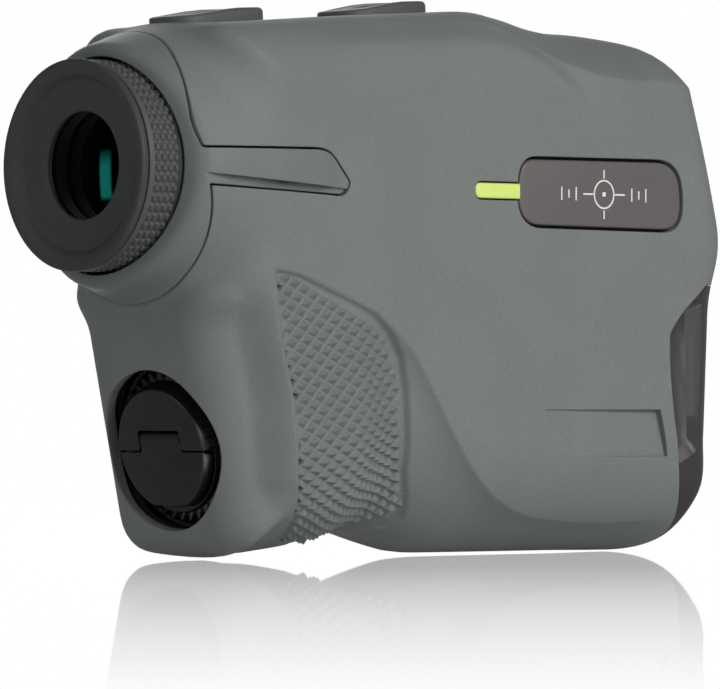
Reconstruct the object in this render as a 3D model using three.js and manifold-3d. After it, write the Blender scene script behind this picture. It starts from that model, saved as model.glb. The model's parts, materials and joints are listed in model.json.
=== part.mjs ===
// Handheld laser rangefinder: a seven-power monocular with a laser receiver
// under it, a battery column at the rear and rubber armour all round.
// Millimetres. +X points at the target, +Y to the user's left, +Z up.
// The origin lies under the middle of the body, on the surface it stands on.
import * as THREE from "three";
import { mergeVertices } from "three/addons/utils/BufferGeometryUtils.js";
import Module from "manifold-3d";

const wasm = await Module();
wasm.setup();

// ---------------------------------------------------------------- dimensions
// Distances along X are counted from the eyecup's lip.
const LENGTH = 110.6;
const HALF_WIDTH = 19.5;
const AXIS_Z = 54.15; // height of the viewing axis
const RECEIVER_Z = 21.5; // height of the receiver's axis
const GAP = 0.3; // clearance between neighbouring pieces
const FAR = 40; // beyond the object on either side, for a cut right through

const ARMOUR_WALL = 1.5;
const HOUSING_WALL = 1.6;
const HOUSING_INSET = ARMOUR_WALL + GAP;
const CAVITY_INSET = HOUSING_INSET + HOUSING_WALL;
const EDGE_RADIUS = 9; // rounding between each flat side and the outline
const EDGE_STEPS = 3;
const HALF_FLAT = HALF_WIDTH - EDGE_RADIUS;
const BODY_CENTRE = new THREE.Vector2(60, 40);

const REAR_LEAN = THREE.MathUtils.degToRad(12.4);
const CAP_CENTRE = [16.3, 15.0]; // x and z of the battery cap's face
const POCKET_R = 11.45;

const COLLAR_X = 10.8; // the eyepiece collar meets the armour here
const COLLAR_R = 19.4;
const EYEPIECE_HOLE_R = 13.9;

const TOP_START = [14.5, 75.0]; // the top ridge rises in a straight line
const TOP_END = [66, 77.8];
const BUTTONS = [
  { name: "mode", x0: 16.5, x1: 33.1, proud: 1.6 },
  { name: "power", x0: 48.5, x1: 64.6, proud: 1.72 },
];
const BUTTON_HALF_WIDTH = 5;
const BUTTON_SUNK = 0.7; // how far a button's pad reaches below the armour
const STEM_R = 2;
const STEM_END_Z = 71.5;
const SWITCH_GAP = 0.9; // a button's travel and a little more

const BOARD_Z = [67.5, 68.5];
const CELL_R = 13; // objective and receiver cells share one size
const CELL_BORE_R = 12.3;
const LENS_R = 12;
const HOOD_BORE_R = 12.4;

const SCREWS = [[80, 70.2], [26.5, 4.4], [84, 6.0], [40, 38.5]];
const BOSS_R = 2.5;

// The side outline: corners as x, z and the length of the curve at each.
const BODY_OUTLINE = [
  [19.3, 0, 5.5], [29.5, 0, 3], [35.2, 4.6, 4], [45, 0, 5],
  [104, 0, 5.5], [108, 14, 5], [109, 36.5, 2.5], [111.7, 44.4, 4.5], [108.8, 56, 5],
  [102.6, 73, 7], [91, 75.2, 4], [82, 77.8, 4], [66, 77.8, 4],
  [14.5, 75.0, 2], [10.8, 72, 2], [11, 37, 3],
];
// The dark front bezel: it fills the lower front corner from side to side,
// and higher up it is a plate set into the armour.
const BEZEL_LOWER = [
  [97.6, 31.8], [97.7, 26.3], [98.5, 19.7], [99.4, 13.5], [99.8, 8], [99, -2],
  [120, -2], [120, 38.6], [105.4, 38.6], [100.3, 34.8],
];
const BEZEL_UPPER = [
  [105.4, 36], [120, 36], [120, 69.5], [101.6, 69.5], [106.3, 56], [108.3, 45], [107.2, 39.4],
];
const BEZEL_HALF_WIDTH = 16;

// Flush pieces on each side: corners as x, z and corner curve.
const PLATE_OUTLINE = [
  [67.0, 56.2, 3], [100.6, 56.3, 6.2], [100.2, 46.5, 3.2], [66.6, 46.7, 5.6],
];
const ACCENT_OUTLINE = [
  [58.3, 52.6, 1], [66.6, 52.6, 0.2], [66.9, 50.4, 0.2], [58.3, 50.4, 1],
];
const TONGUE_OUTLINE = [
  [8.8, 56.3, 0.4], [30.0, 56.4, 1.2], [34.2, 52.0, 0.8], [32.6, 50.0, 1], [8.8, 51.4, 0.4],
];

// -------------------------------------------------------------------- shapes
function bare(geometry) {
  // One shared vertex per point, and no triangle that has shrunk to a line.
  geometry.deleteAttribute("normal");
  geometry.deleteAttribute("uv");
  const merged = mergeVertices(geometry, 1e-4);
  const index = Array.from(merged.index.array);
  const kept = [];
  for (let i = 0; i < index.length; i += 3) {
    const [a, b, c] = index.slice(i, i + 3);
    if (a !== b && b !== c && c !== a) {
      kept.push(a, b, c);
    }
  }
  merged.setIndex(kept);
  return merged;
}

function solid(geometry) {
  const clean = bare(geometry);
  return new wasm.Manifold(new wasm.Mesh({
    numProp: 3,
    vertProperties: new Float32Array(clean.attributes.position.array),
    triVerts: new Uint32Array(clean.index.array),
  }));
}

function geometryOf(manifold) {
  const mesh = manifold.getMesh();
  const geometry = new THREE.BufferGeometry();
  geometry.setAttribute("position", new THREE.BufferAttribute(mesh.vertProperties, 3));
  geometry.setIndex(new THREE.BufferAttribute(mesh.triVerts, 1));
  return geometry;
}

function joined(solids) {
  return solids.reduce((whole, piece) => whole.add(piece));
}

function cut(whole, tools) {
  return tools.reduce((rest, tool) => rest.subtract(tool), whole);
}

function box([x0, x1], [y0, y1], [z0, z1]) {
  const geometry = new THREE.BoxGeometry(x1 - x0, y1 - y0, z1 - z0);
  geometry.translate((x0 + x1) / 2, (y0 + y1) / 2, (z0 + z1) / 2);
  return solid(geometry);
}

// A body of revolution about the X axis. The profile lists radius and x, with
// the outer wall running forwards.
function revolve(profile, segments = 20) {
  const points = profile.map(([r, x]) => new THREE.Vector2(r, x));
  const geometry = new THREE.LatheGeometry(points, segments);
  geometry.rotateZ(-Math.PI / 2);
  return solid(geometry);
}

function ring(innerR, outerR, x0, x1, segments = 20) {
  return revolve([[outerR, x0], [outerR, x1], [innerR, x1], [innerR, x0], [outerR, x0]], segments);
}

function rod(radius, x0, x1, segments = 20) {
  return revolve([[0, x0], [radius, x0], [radius, x1], [0, x1]], segments);
}

function onAxis(piece, z) {
  return piece.translate([0, 0, z]);
}

function rodAlongY(radius, y0, y1, x, z, segments = 12) {
  const geometry = new THREE.CylinderGeometry(radius, radius, y1 - y0, segments);
  geometry.translate(x, (y0 + y1) / 2, z);
  return solid(geometry);
}

function rodAlongZ(radius, z0, z1, x, y, segments = 12) {
  const geometry = new THREE.CylinderGeometry(radius, radius, z1 - z0, segments);
  geometry.rotateX(Math.PI / 2);
  geometry.translate(x, y, (z0 + z1) / 2);
  return solid(geometry);
}

// A closed outline whose corners are eased by a curve of the given length.
function easedShape(corners) {
  const shape = new THREE.Shape();
  const count = corners.length;
  corners.forEach(([x, z, ease = 0], i) => {
    const corner = new THREE.Vector2(x, z);
    const before = new THREE.Vector2(...corners[(i + count - 1) % count].slice(0, 2));
    const after = new THREE.Vector2(...corners[(i + 1) % count].slice(0, 2));
    const start = before.sub(corner).setLength(ease).add(corner);
    const end = after.sub(corner).setLength(ease).add(corner);
    if (i === 0) {
      shape.moveTo(start.x, start.y);
    } else {
      shape.lineTo(start.x, start.y);
    }
    if (ease > 0) {
      shape.quadraticCurveTo(x, z, end.x, end.y);
    }
  });
  shape.closePath();
  return shape;
}

// An outline in X and Z, carried along Y.
function prismAlongY(shape, y0, y1, curveSegments = 4) {
  const options = { depth: y1 - y0, bevelEnabled: false, curveSegments };
  const geometry = new THREE.ExtrudeGeometry(shape, options);
  geometry.rotateX(Math.PI / 2);
  geometry.translate(0, y1, 0);
  return solid(geometry);
}

// An outline in X and Y, carried along Z.
function prismAlongZ(shape, z0, z1, curveSegments = 4) {
  const options = { depth: z1 - z0, bevelEnabled: false, curveSegments };
  const geometry = new THREE.ExtrudeGeometry(shape, options);
  geometry.translate(0, 0, z0);
  return solid(geometry);
}

// Moves every corner of a counter-clockwise loop inwards by the same distance.
function insetLoop(points, inset) {
  const count = points.length;
  return points.map((point, i) => {
    const before = point.clone().sub(points[(i + count - 1) % count]).normalize();
    const after = points[(i + 1) % count].clone().sub(point).normalize();
    const inward = new THREE.Vector2(-before.y - after.y, before.x + after.x).normalize();
    const spread = Math.max(0.5, inward.x * -before.y + inward.y * before.x);
    return point.clone().addScaledVector(inward, inset / spread);
  });
}

function grown(corners, by) {
  const points = corners.map(([x, z]) => new THREE.Vector2(x, z));
  const turn = THREE.ShapeUtils.area(points) > 0 ? 1 : -1;
  return new THREE.Shape(insetLoop(points, -by * turn));
}

function grownEased(corners, by) {
  const points = easedShape(corners).extractPoints(4).shape;
  const turn = THREE.ShapeUtils.area(points) > 0 ? 1 : -1;
  const distinct = points.filter((p, i) => p.distanceTo(points[(i + 1) % points.length]) > 1e-4);
  return new THREE.Shape(insetLoop(distinct, -by * turn));
}

// The whole outer form, inset by a distance: the outline carried across the
// width with round edges, joined to the round end that holds the eyepiece.
function bodyForm(inset) {
  const outline = easedShape(BODY_OUTLINE).extractPoints(2).shape;
  const loop = outline.filter((p, i) => p.distanceTo(outline[(i + 1) % outline.length]) > 1e-4);
  const steps = 2 * EDGE_STEPS + 1;
  const shape = new THREE.Shape(insetLoop(loop, inset));
  const geometry = new THREE.ExtrudeGeometry(shape, { depth: steps, steps, bevelEnabled: false });
  const position = geometry.attributes.position;
  const radius = EDGE_RADIUS - inset;
  for (let i = 0; i < position.count; i += 1) {
    const station = Math.round(position.getZ(i));
    const side = station <= EDGE_STEPS ? 1 : -1;
    const fromFlat = side > 0 ? EDGE_STEPS - station : station - EDGE_STEPS - 1;
    const angle = (fromFlat / EDGE_STEPS) * (Math.PI / 2);
    const point = new THREE.Vector2(position.getX(i), position.getY(i)).sub(BODY_CENTRE);
    point.setLength(point.length() - radius * (1 - Math.cos(angle))).add(BODY_CENTRE);
    position.setXYZ(i, point.x, side * (HALF_FLAT + radius * Math.sin(angle)), point.y);
  }
  const roundEnd = onAxis(rod(COLLAR_R - inset, COLLAR_X + inset, 30, 32), AXIS_Z);
  return solid(geometry).add(roundEnd);
}

function topAt(x) {
  const slope = (TOP_END[1] - TOP_START[1]) / (TOP_END[0] - TOP_START[0]);
  return TOP_START[1] + slope * (x - TOP_START[0]);
}

// A lens about the X axis: edge planes at x0 and x1, with each face standing
// out by its bulge at the middle.
function lens(radius, x0, x1, bulge0, bulge1, segments = 20) {
  const faceSteps = 3;
  const profile = [];
  for (let i = 0; i <= faceSteps; i += 1) {
    const t = i / faceSteps;
    profile.push([radius * t, x0 - bulge0 * (1 - t * t)]);
  }
  for (let i = faceSteps; i >= 0; i -= 1) {
    const t = i / faceSteps;
    profile.push([radius * t, x1 + bulge1 * (1 - t * t)]);
  }
  return revolve(profile, segments);
}

// ----------------------------------------------------------------- materials
function finish(color, roughness, metalness = 0) {
  return new THREE.MeshStandardMaterial({ color, roughness, metalness });
}

const rubberGreen = finish(0x737a76, 0.8);
const plasticGreen = finish(0x757c78, 0.7);
const plasticBlack = finish(0x1b1d1d, 0.6);
const plasticCharcoal = finish(0x404040, 0.55);
const rubberBlack = finish(0x2c2e2d, 0.75);
const ringBlack = finish(0x3a3c3c, 0.6);
const padGrey = finish(0x515151, 0.7);
const plateGrey = finish(0x625e5a, 0.6);
const limeGreen = finish(0xd7eb7c, 0.4);
const aluminiumBlack = finish(0x222426, 0.45, 0.8);
const coatedGlass = finish(0x2f6f66, 0.05);
const circuitGreen = finish(0x1f5a3a, 0.5);
const steel = finish(0xb4b6b8, 0.3, 1);
const cellLabel = finish(0x3d4f7a, 0.4);
const sealGrey = finish(0x55585a, 0.8);

// ------------------------------------------------------------------ assembly
const rangefinder = new THREE.Group();
rangefinder.name = "laser_rangefinder";
rangefinder.position.x = -LENGTH / 2;

// The battery and its cap lie along a line that leans with the rear face.
const batteryLine = new THREE.Group();
batteryLine.position.set(CAP_CENTRE[0], 0, CAP_CENTRE[1]);
batteryLine.rotation.y = -REAR_LEAN;
rangefinder.add(batteryLine);

function place(name, piece, material, group = rangefinder) {
  const mesh = new THREE.Mesh(geometryOf(piece), material);
  mesh.name = name;
  group.add(mesh);
}

function alongBattery(piece) {
  const lean = THREE.MathUtils.radToDeg(REAR_LEAN);
  return piece.rotate([0, -lean, 0]).translate([CAP_CENTRE[0], 0, CAP_CENTRE[1]]);
}

function buttonPlan({ x0, x1 }, grow) {
  const y = BUTTON_HALF_WIDTH + grow;
  const corner = 3 + grow;
  return easedShape([
    [x0 - grow, -y, corner], [x1 + grow, -y, corner], [x1 + grow, y, corner], [x0 - grow, y, corner],
  ]);
}

// --- armour, housing, bezel and collar
const outer = bodyForm(0);
const underArmour = bodyForm(HOUSING_INSET);
const cavity = bodyForm(CAVITY_INSET);

function armourSolid() {
  const openings = [
    onAxis(rod(EYEPIECE_HOLE_R + GAP, COLLAR_X - 5, COLLAR_X + 5), AXIS_Z),
    alongBattery(rod(POCKET_R, -12, 9)),
    prismAlongY(grown(BEZEL_LOWER, GAP), -FAR, FAR),
    prismAlongY(grown(BEZEL_UPPER, GAP), -BEZEL_HALF_WIDTH - GAP, BEZEL_HALF_WIDTH + GAP),
  ];
  for (const corners of [PLATE_OUTLINE, ACCENT_OUTLINE, TONGUE_OUTLINE]) {
    openings.push(prismAlongY(grownEased(corners, GAP), -FAR, -15));
    openings.push(prismAlongY(grownEased(corners, GAP), 15, FAR));
  }
  for (const button of BUTTONS) {
    openings.push(prismAlongZ(buttonPlan(button, GAP + 0.1), 70, 90));
  }
  return cut(outer, [bodyForm(ARMOUR_WALL), ...openings]);
}

function housingSolid(side) {
  const bosses = SCREWS.map(([x, z]) => rodAlongY(BOSS_R, -FAR, FAR, x, z));
  const across = side > 0 ? [GAP / 2, FAR] : [-FAR, -GAP / 2];
  const half = box([-5, 120], across, [-5, 90]);
  const openings = [
    onAxis(rod(EYEPIECE_HOLE_R, COLLAR_X - 5, COLLAR_X + 5), AXIS_Z),
    onAxis(rod(CELL_R + 2 * GAP, 99.6, 120), AXIS_Z),
    alongBattery(rod(POCKET_R, -12, 5)),
    alongBattery(rod(12 + GAP, 3.6, 6.8)),
    prismAlongY(grown(BEZEL_LOWER, GAP), -FAR, FAR),
    prismAlongY(grown(BEZEL_UPPER, GAP), -FAR, FAR),
  ];
  for (const { x0, x1 } of BUTTONS) {
    openings.push(rodAlongZ(STEM_R + GAP, 65, 85, (x0 + x1) / 2, 0));
  }
  for (const [x, z] of SCREWS) {
    openings.push(rodAlongY(1.2, -FAR, 9, x, z));
    openings.push(rodAlongY(2.1, -FAR, -11, x, z));
  }
  const shell = underArmour.subtract(cavity).add(joined(bosses).intersect(underArmour));
  return cut(shell.intersect(half), openings);
}

function bezelSolid() {
  const lower = outer.intersect(prismAlongY(grown(BEZEL_LOWER, 0), -FAR, FAR));
  const plate = prismAlongY(grown(BEZEL_UPPER, 0), -BEZEL_HALF_WIDTH, BEZEL_HALF_WIDTH);
  const upper = bodyForm(0.5).intersect(plate);
  const hood = onAxis(ring(HOOD_BORE_R, CELL_R + GAP, 101.8, 115), AXIS_Z).intersect(underArmour);
  const hollow = bodyForm(CAVITY_INSET + 0.2).intersect(box([80, 105.9], [-FAR, FAR], [-5, 40]));
  const bores = [AXIS_Z, RECEIVER_Z].map((z) => onAxis(rod(HOOD_BORE_R, 90, 125), z));
  bores.push(onAxis(rod(CELL_R + GAP, 90, 105.9), RECEIVER_Z));
  return cut(cut(lower.add(upper), [hollow]).add(hood), bores);
}

function collarSolid() {
  const dome = onAxis(revolve([
    [16.1, 6.5], [17.2, 6.6], [18.3, 7.5], [19, 8.9], [19.3, COLLAR_X - GAP],
    [15, COLLAR_X - GAP], [15, 9.2], [15.7, 8.6], [16.1, 6.5],
  ], 32), AXIS_Z);
  const reach = outer.add(onAxis(rod(COLLAR_R - 0.1, 8.8, 20, 32), AXIS_Z));
  const skin = HALF_WIDTH - ARMOUR_WALL + 0.1;
  const tongues = [[-FAR, -skin], [skin, FAR]].map(([y0, y1]) =>
    prismAlongY(easedShape(TONGUE_OUTLINE), y0, y1).intersect(reach));
  return joined([dome, ...tongues]);
}

place("rubber_armour", armourSolid(), rubberGreen);
place("right_housing", housingSolid(-1), plasticBlack);
place("left_housing", housingSolid(1), plasticBlack);
place("front_bezel", bezelSolid(), plasticCharcoal);
place("eyepiece_collar", collarSolid(), plasticGreen);

// --- side plates and accent bars, alike on both sides
const PLATE_Y = [HALF_WIDTH - ARMOUR_WALL, HALF_WIDTH + 0.2];
for (const [side, sign] of [["right", -1], ["left", 1]]) {
  const [y0, y1] = PLATE_Y.map((y) => y * sign).sort((a, b) => a - b);
  place(`${side}_side_plate`, prismAlongY(easedShape(PLATE_OUTLINE), y0, y1), plateGrey);
  place(`${side}_accent_bar`, prismAlongY(easedShape(ACCENT_OUTLINE), y0, y1), limeGreen);
}

// --- housing screws, their heads sunk in the right half
SCREWS.forEach(([x, z], i) => {
  const head = rodAlongY(1.8, -13.2, -11.4, x, z, 12);
  const shank = rodAlongY(0.9, -11.5, 8.4, x, z, 12);
  place(`housing_screw_${i + 1}`, head.add(shank), steel);
});

// --- eyepiece: cup, sleeve, dioptre ring, base and lens barrel
place("eyecup", onAxis(revolve([
  [13.9, 0], [14.5, 0.35], [14.65, 0.8], [14.65, 1.3], [12.6, 1.3], [12.6, 3.4],
  [7.4, 3.4], [7.4, 2.2], [12.7, 1.4], [13.2, 0.5], [13.9, 0],
], 32), AXIS_Z), rubberBlack);
place("eyecup_sleeve", onAxis(revolve([
  [12.4, 3.7], [12.4, 12.5], [11.2, 12.5], [11.2, 4.9], [7.9, 4.9], [7.9, 3.7], [12.4, 3.7],
]), AXIS_Z), plasticBlack);
place("diopter_ring", onAxis(revolve([
  [14.3, 1.6], [14.65, 1.9], [14.65, 10.2], [13.9, 10.2], [13.9, 8.6], [12.9, 8.6], [12.9, 1.6],
  [14.3, 1.6],
], 32), AXIS_Z), ringBlack);
place("eyepiece_base", onAxis(revolve([
  [13.6, 9], [13.6, 14.5], [15.2, 14.5], [15.2, 16], [12.4, 16], [12.4, 18.5], [11, 18.5],
  [11, 13.9], [12.7, 13.9], [12.7, 9], [13.6, 9],
]), AXIS_Z), aluminiumBlack);
place("ocular_barrel", onAxis(revolve([
  [10.6, 7], [10.6, 15.3], [9.95, 15.3], [9.95, 16.7], [10.6, 16.7], [10.6, 21], [9.5, 21],
  [9.5, 7], [10.6, 7],
]), AXIS_Z), aluminiumBlack);
place("ocular_retaining_ring", onAxis(ring(7.7, 9.2, 7.2, 8.4, 20), AXIS_Z), aluminiumBlack);
place("eye_lens", onAxis(lens(9.2, 9.6, 12, 0.9, 0.7), AXIS_Z), coatedGlass);
place("ocular_spacer", onAxis(ring(8.2, 9.2, 13, 16, 20), AXIS_Z), aluminiumBlack);
place("field_lens", onAxis(lens(9.2, 16.9, 18.4, 0.5, 1), AXIS_Z), coatedGlass);

function torus(centreR, sectionR, x, segments = 20) {
  const sectionSteps = 5;
  const profile = [];
  for (let i = 0; i <= sectionSteps; i += 1) {
    const angle = (i / sectionSteps) * 2 * Math.PI;
    profile.push([centreR + sectionR * Math.cos(angle), x + sectionR * Math.sin(angle)]);
  }
  return revolve(profile, segments);
}
place("ocular_o_ring", onAxis(torus(10.48, 0.4, 16), AXIS_Z), rubberBlack);

// --- objective
place("objective_cell", onAxis(ring(CELL_BORE_R, CELL_R, 82, 101.5), AXIS_Z), aluminiumBlack);
place("objective_retaining_ring", onAxis(ring(10.9, LENS_R, 100, 101.2, 20), AXIS_Z), aluminiumBlack);
place("objective_front_lens", onAxis(lens(LENS_R, 95.8, 98, 0.1, 1.4), AXIS_Z), coatedGlass);
place("objective_rear_lens", onAxis(lens(LENS_R, 92.6, 95.2, -0.6, 0.1), AXIS_Z), coatedGlass);

// --- prisms in their holder, and the display that is mirrored into the view
const PRISM_X = [46, 76];
const PRISM_HALF = 12.6;
const prismBox = box(PRISM_X, [-12.4, 12.4], [AXIS_Z - PRISM_HALF, AXIS_Z + PRISM_HALF]);
place("prism_housing", cut(prismBox, [
  box([47.3, 74.7], [-11.2, 20], [AXIS_Z - 11.3, AXIS_Z + 11.3]),
  onAxis(rod(8.5, 40, 80, 20), AXIS_Z),
  rodAlongZ(4.6, 36, 45, 58, 0),
  rodAlongZ(2.6, 64, 70, 71, 0),
]), aluminiumBlack);
function prismBlock(corners) {
  const shape = new THREE.Shape(corners.map(([x, z]) => new THREE.Vector2(x, AXIS_Z + z)));
  return prismAlongY(shape, -10.5, 10.5);
}
place("half_prism", prismBlock([[57.4, -10.8], [74.2, -10.8], [74.2, 10.8], [68, 10.8]]), coatedGlass);
const ROOF_PRISM_PLAN = [[47.8, -10.8], [56.6, -10.8], [67.2, 10.8], [53, 10.8], [47.8, 5]];
place("roof_prism", prismBlock(ROOF_PRISM_PLAN), coatedGlass);
place("oled_display", box([52, 64], [-7, 7], [35.9, 37.5]), plasticBlack);
place("display_lens", rodAlongZ(4.2, 38.2, 41.2, 58, 0, 20), coatedGlass);

// --- laser diode in its holder over the prisms
const laserHolder = rodAlongZ(4.4, 67.1, 69.9, 71, 0, 20).subtract(rodAlongZ(2.6, 60, 75, 71, 0));
place("laser_holder", laserHolder, aluminiumBlack);
place("laser_diode", rodAlongZ(2.3, 67.3, 70.3, 71, 0).add(rodAlongZ(2.9, 70.2, 71.4, 71, 0)), steel);

// --- receiver
place("receiver_cell", onAxis(ring(CELL_BORE_R, CELL_R, 88, 105.5), RECEIVER_Z), aluminiumBlack);
place("receiver_retaining_ring", onAxis(ring(10.9, LENS_R, 103.6, 104.8, 20), RECEIVER_Z), aluminiumBlack);
place("receiver_lens", onAxis(lens(LENS_R, 98.4, 101.6, 1.6, 1.5), RECEIVER_Z), coatedGlass);
place("receiver_baffle", onAxis(revolve([
  [5.9, 65], [5.9, 69], [12.9, 87.6], [11.9, 87.6], [4.9, 69], [4.9, 65], [5.9, 65],
], 20), RECEIVER_Z), plasticBlack);
place("receiver_filter", onAxis(rod(4.6, 67, 68, 20), RECEIVER_Z), coatedGlass);
place("detector", onAxis(rod(4.1, 61.8, 65.8, 20), RECEIVER_Z), steel);
place("detector_board", box([60.2, 61.4], [-10, 10], [12, 33]), circuitGreen);

// --- electronics
function mainBoardShape() {
  const shape = easedShape([[34, 30, 1], [90, 30, 1], [90, 65, 1], [34, 65, 1]]);
  const hole = new THREE.Path();
  hole.absarc(SCREWS[3][0], SCREWS[3][1], BOSS_R + GAP + 0.1, 0, 2 * Math.PI, true);
  shape.holes.push(hole);
  return shape;
}
place("main_board", prismAlongY(mainBoardShape(), 13.9, 15.1), circuitGreen);
place("processor", box([35, 44.5], [12.6, 13.6], [47, 56.5]), plasticBlack);
place("storage_capacitor", onAxis(rod(2.6, 72, 84, 16), 37.8), aluminiumBlack);
place("button_board", box([19, 65], [-7, 7], BOARD_Z), circuitGreen);

// --- buttons, each over its own switch
function buttonSolid(button) {
  const { x0, x1, proud } = button;
  const middle = (x0 + x1) / 2;
  const side = new THREE.Shape([
    new THREE.Vector2(x0, topAt(x0) - BUTTON_SUNK),
    new THREE.Vector2(x1, topAt(x1) - BUTTON_SUNK),
    new THREE.Vector2(x1, topAt(x1) + 0.5),
    new THREE.Vector2(x1 - 2.2, topAt(x1 - 2.2) + proud),
    new THREE.Vector2(x0 + 5, topAt(x0 + 5) + proud),
    new THREE.Vector2(x0 + 1.6, topAt(x0 + 1.6) + 0.7 * proud),
    new THREE.Vector2(x0, topAt(x0) + 0.2),
  ]);
  const pad = prismAlongZ(buttonPlan(button, 0), 65, 90).intersect(prismAlongY(side, -10, 10));
  return pad.add(rodAlongZ(STEM_R, STEM_END_Z, topAt(middle), middle, 0));
}
for (const button of BUTTONS) {
  const middle = (button.x0 + button.x1) / 2;
  const sealTop = topAt(middle) - CAVITY_INSET - GAP;
  place(`${button.name}_button`, buttonSolid(button), padGrey);
  place(`${button.name}_button_seal`,
    rodAlongZ(4.2, sealTop - 0.8, sealTop, middle, 0, 20)
      .subtract(rodAlongZ(STEM_R + GAP, 60, 90, middle, 0)),
    sealGrey);
  const plungerTop = STEM_END_Z - SWITCH_GAP;
  place(`${button.name}_switch`,
    box([middle - 3, middle + 3], [-3, 3], [BOARD_Z[1] + GAP, plungerTop - 0.5])
      .add(rodAlongZ(1.6, BOARD_Z[1] + 1, plungerTop, middle, 0, 12)),
    plasticBlack);
}

// --- battery line: tube, cell, contacts, cap and its fold-out flap.
// Along this line x runs into the body from the cap's face.
const FLAP_PIN = [1.4, 1.3]; // x and height of the flap's hinge
const FLAP_KNUCKLE_R = 1.4;
const FLAP_TAB_HALF = 4.05;
const FLAP_SWING_R = 2; // relief along the plate's top edge, so that it swings clear of the cap
place("battery_tube", revolve([
  [0, 39.2], [8.2, 39.2], [8.2, 9.4], [8.9, 9.4], [8.9, 5.1], [11.4, 5.1], [11.4, 3.9],
  [12, 3.9], [12, 6.4], [9.9, 6.4], [9.9, 40.2], [0, 40.2],
]), plasticBlack, batteryLine);
place("battery", revolve([
  [0, 9.9], [7.8, 9.9], [7.8, 36.1], [3.1, 36.1], [3.1, 36.9], [0, 36.9],
], 20), cellLabel, batteryLine);
place("cap_contact", rod(6, 9.2, 9.6, 20), steel, batteryLine);
place("cap_o_ring", torus(8.45, 0.38, 7.4), rubberBlack, batteryLine);

class ContactCoil extends THREE.Curve {
  getPoint(t, target = new THREE.Vector3()) {
    const angle = t * 5 * Math.PI;
    const radius = 5.5 - 2.5 * t;
    return target.set(38.8 - 1.4 * t, radius * Math.cos(angle), radius * Math.sin(angle));
  }
}
function contactSpring() {
  const section = new THREE.Shape();
  section.absarc(0, 0, 0.22, 0, 2 * Math.PI);
  const options = { steps: 30, extrudePath: new ContactCoil(), bevelEnabled: false, curveSegments: 3 };
  return solid(new THREE.ExtrudeGeometry(section, options));
}
place("battery_spring", contactSpring(), steel, batteryLine);

// The flap fills the lower half of the cap's face and a tab above its middle.
function flapPlan(radius, halfTab, top, split) {
  const shape = new THREE.Shape();
  const side = Math.sqrt(radius * radius - split * split);
  shape.moveTo(side, split);
  shape.lineTo(halfTab, split);
  shape.lineTo(halfTab, top);
  shape.lineTo(-halfTab, top);
  shape.lineTo(-halfTab, split);
  shape.lineTo(-side, split);
  shape.absarc(0, 0, radius, Math.PI - Math.asin(split / radius), 2 * Math.PI + Math.asin(split / radius));
  return shape;
}
// An outline in Y and height, carried along x.
function prismAlongX(shape, x0, x1, curveSegments = 12) {
  const options = { depth: x1 - x0, bevelEnabled: false, curveSegments };
  const geometry = new THREE.ExtrudeGeometry(shape, options);
  geometry.rotateX(Math.PI / 2);
  geometry.rotateZ(Math.PI / 2);
  geometry.translate(x0, 0, 0);
  return solid(geometry);
}
function capSolid() {
  const turned = revolve([
    [0, 0], [8.5, 0], [8.8, 0.3], [9.4, 2.6], [10.8, 2.8], [10.8, 4.4], [8.6, 4.6], [8.6, 6.7],
    [8, 6.7], [8, 8.1], [8.6, 8.1], [8.6, 8.9], [0, 8.9],
  ]);
  const tabTop = FLAP_PIN[1] + FLAP_KNUCKLE_R + GAP;
  const recess = prismAlongX(flapPlan(10.2, FLAP_TAB_HALF + GAP, tabTop, 0), -3, 1.9);
  const knuckle = rodAlongY(FLAP_KNUCKLE_R + 0.35, -FLAP_TAB_HALF - GAP, FLAP_TAB_HALF + GAP, ...FLAP_PIN);
  const pinBore = rodAlongY(0.8, -6, 6, ...FLAP_PIN, 12);
  return cut(turned, [recess, knuckle, pinBore]);
}
function flapSolid() {
  const plate = prismAlongX(flapPlan(8.7, FLAP_TAB_HALF, FLAP_PIN[1], -0.3), 0, 1.5);
  const knuckle = rodAlongY(FLAP_KNUCKLE_R, -FLAP_TAB_HALF, FLAP_TAB_HALF, ...FLAP_PIN);
  return cut(plate.add(knuckle), [
    rodAlongY(FLAP_SWING_R, FLAP_TAB_HALF, 10, ...FLAP_PIN),
    rodAlongY(FLAP_SWING_R, -10, -FLAP_TAB_HALF, ...FLAP_PIN),
    rodAlongY(0.8, -6, 6, ...FLAP_PIN, 12),
  ]);
}
place("battery_cap", capSolid(), plasticBlack, batteryLine);
place("cap_flap", flapSolid(), plasticBlack, batteryLine);
place("cap_flap_pin", rodAlongY(0.5, -5.6, 5.6, ...FLAP_PIN, 10), steel, batteryLine);

export default rangefinder;
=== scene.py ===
import json
import math
from contextlib import contextmanager

import bmesh
import bpy
import numpy as np
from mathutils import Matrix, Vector
from mathutils.bvhtree import BVHTree


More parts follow.
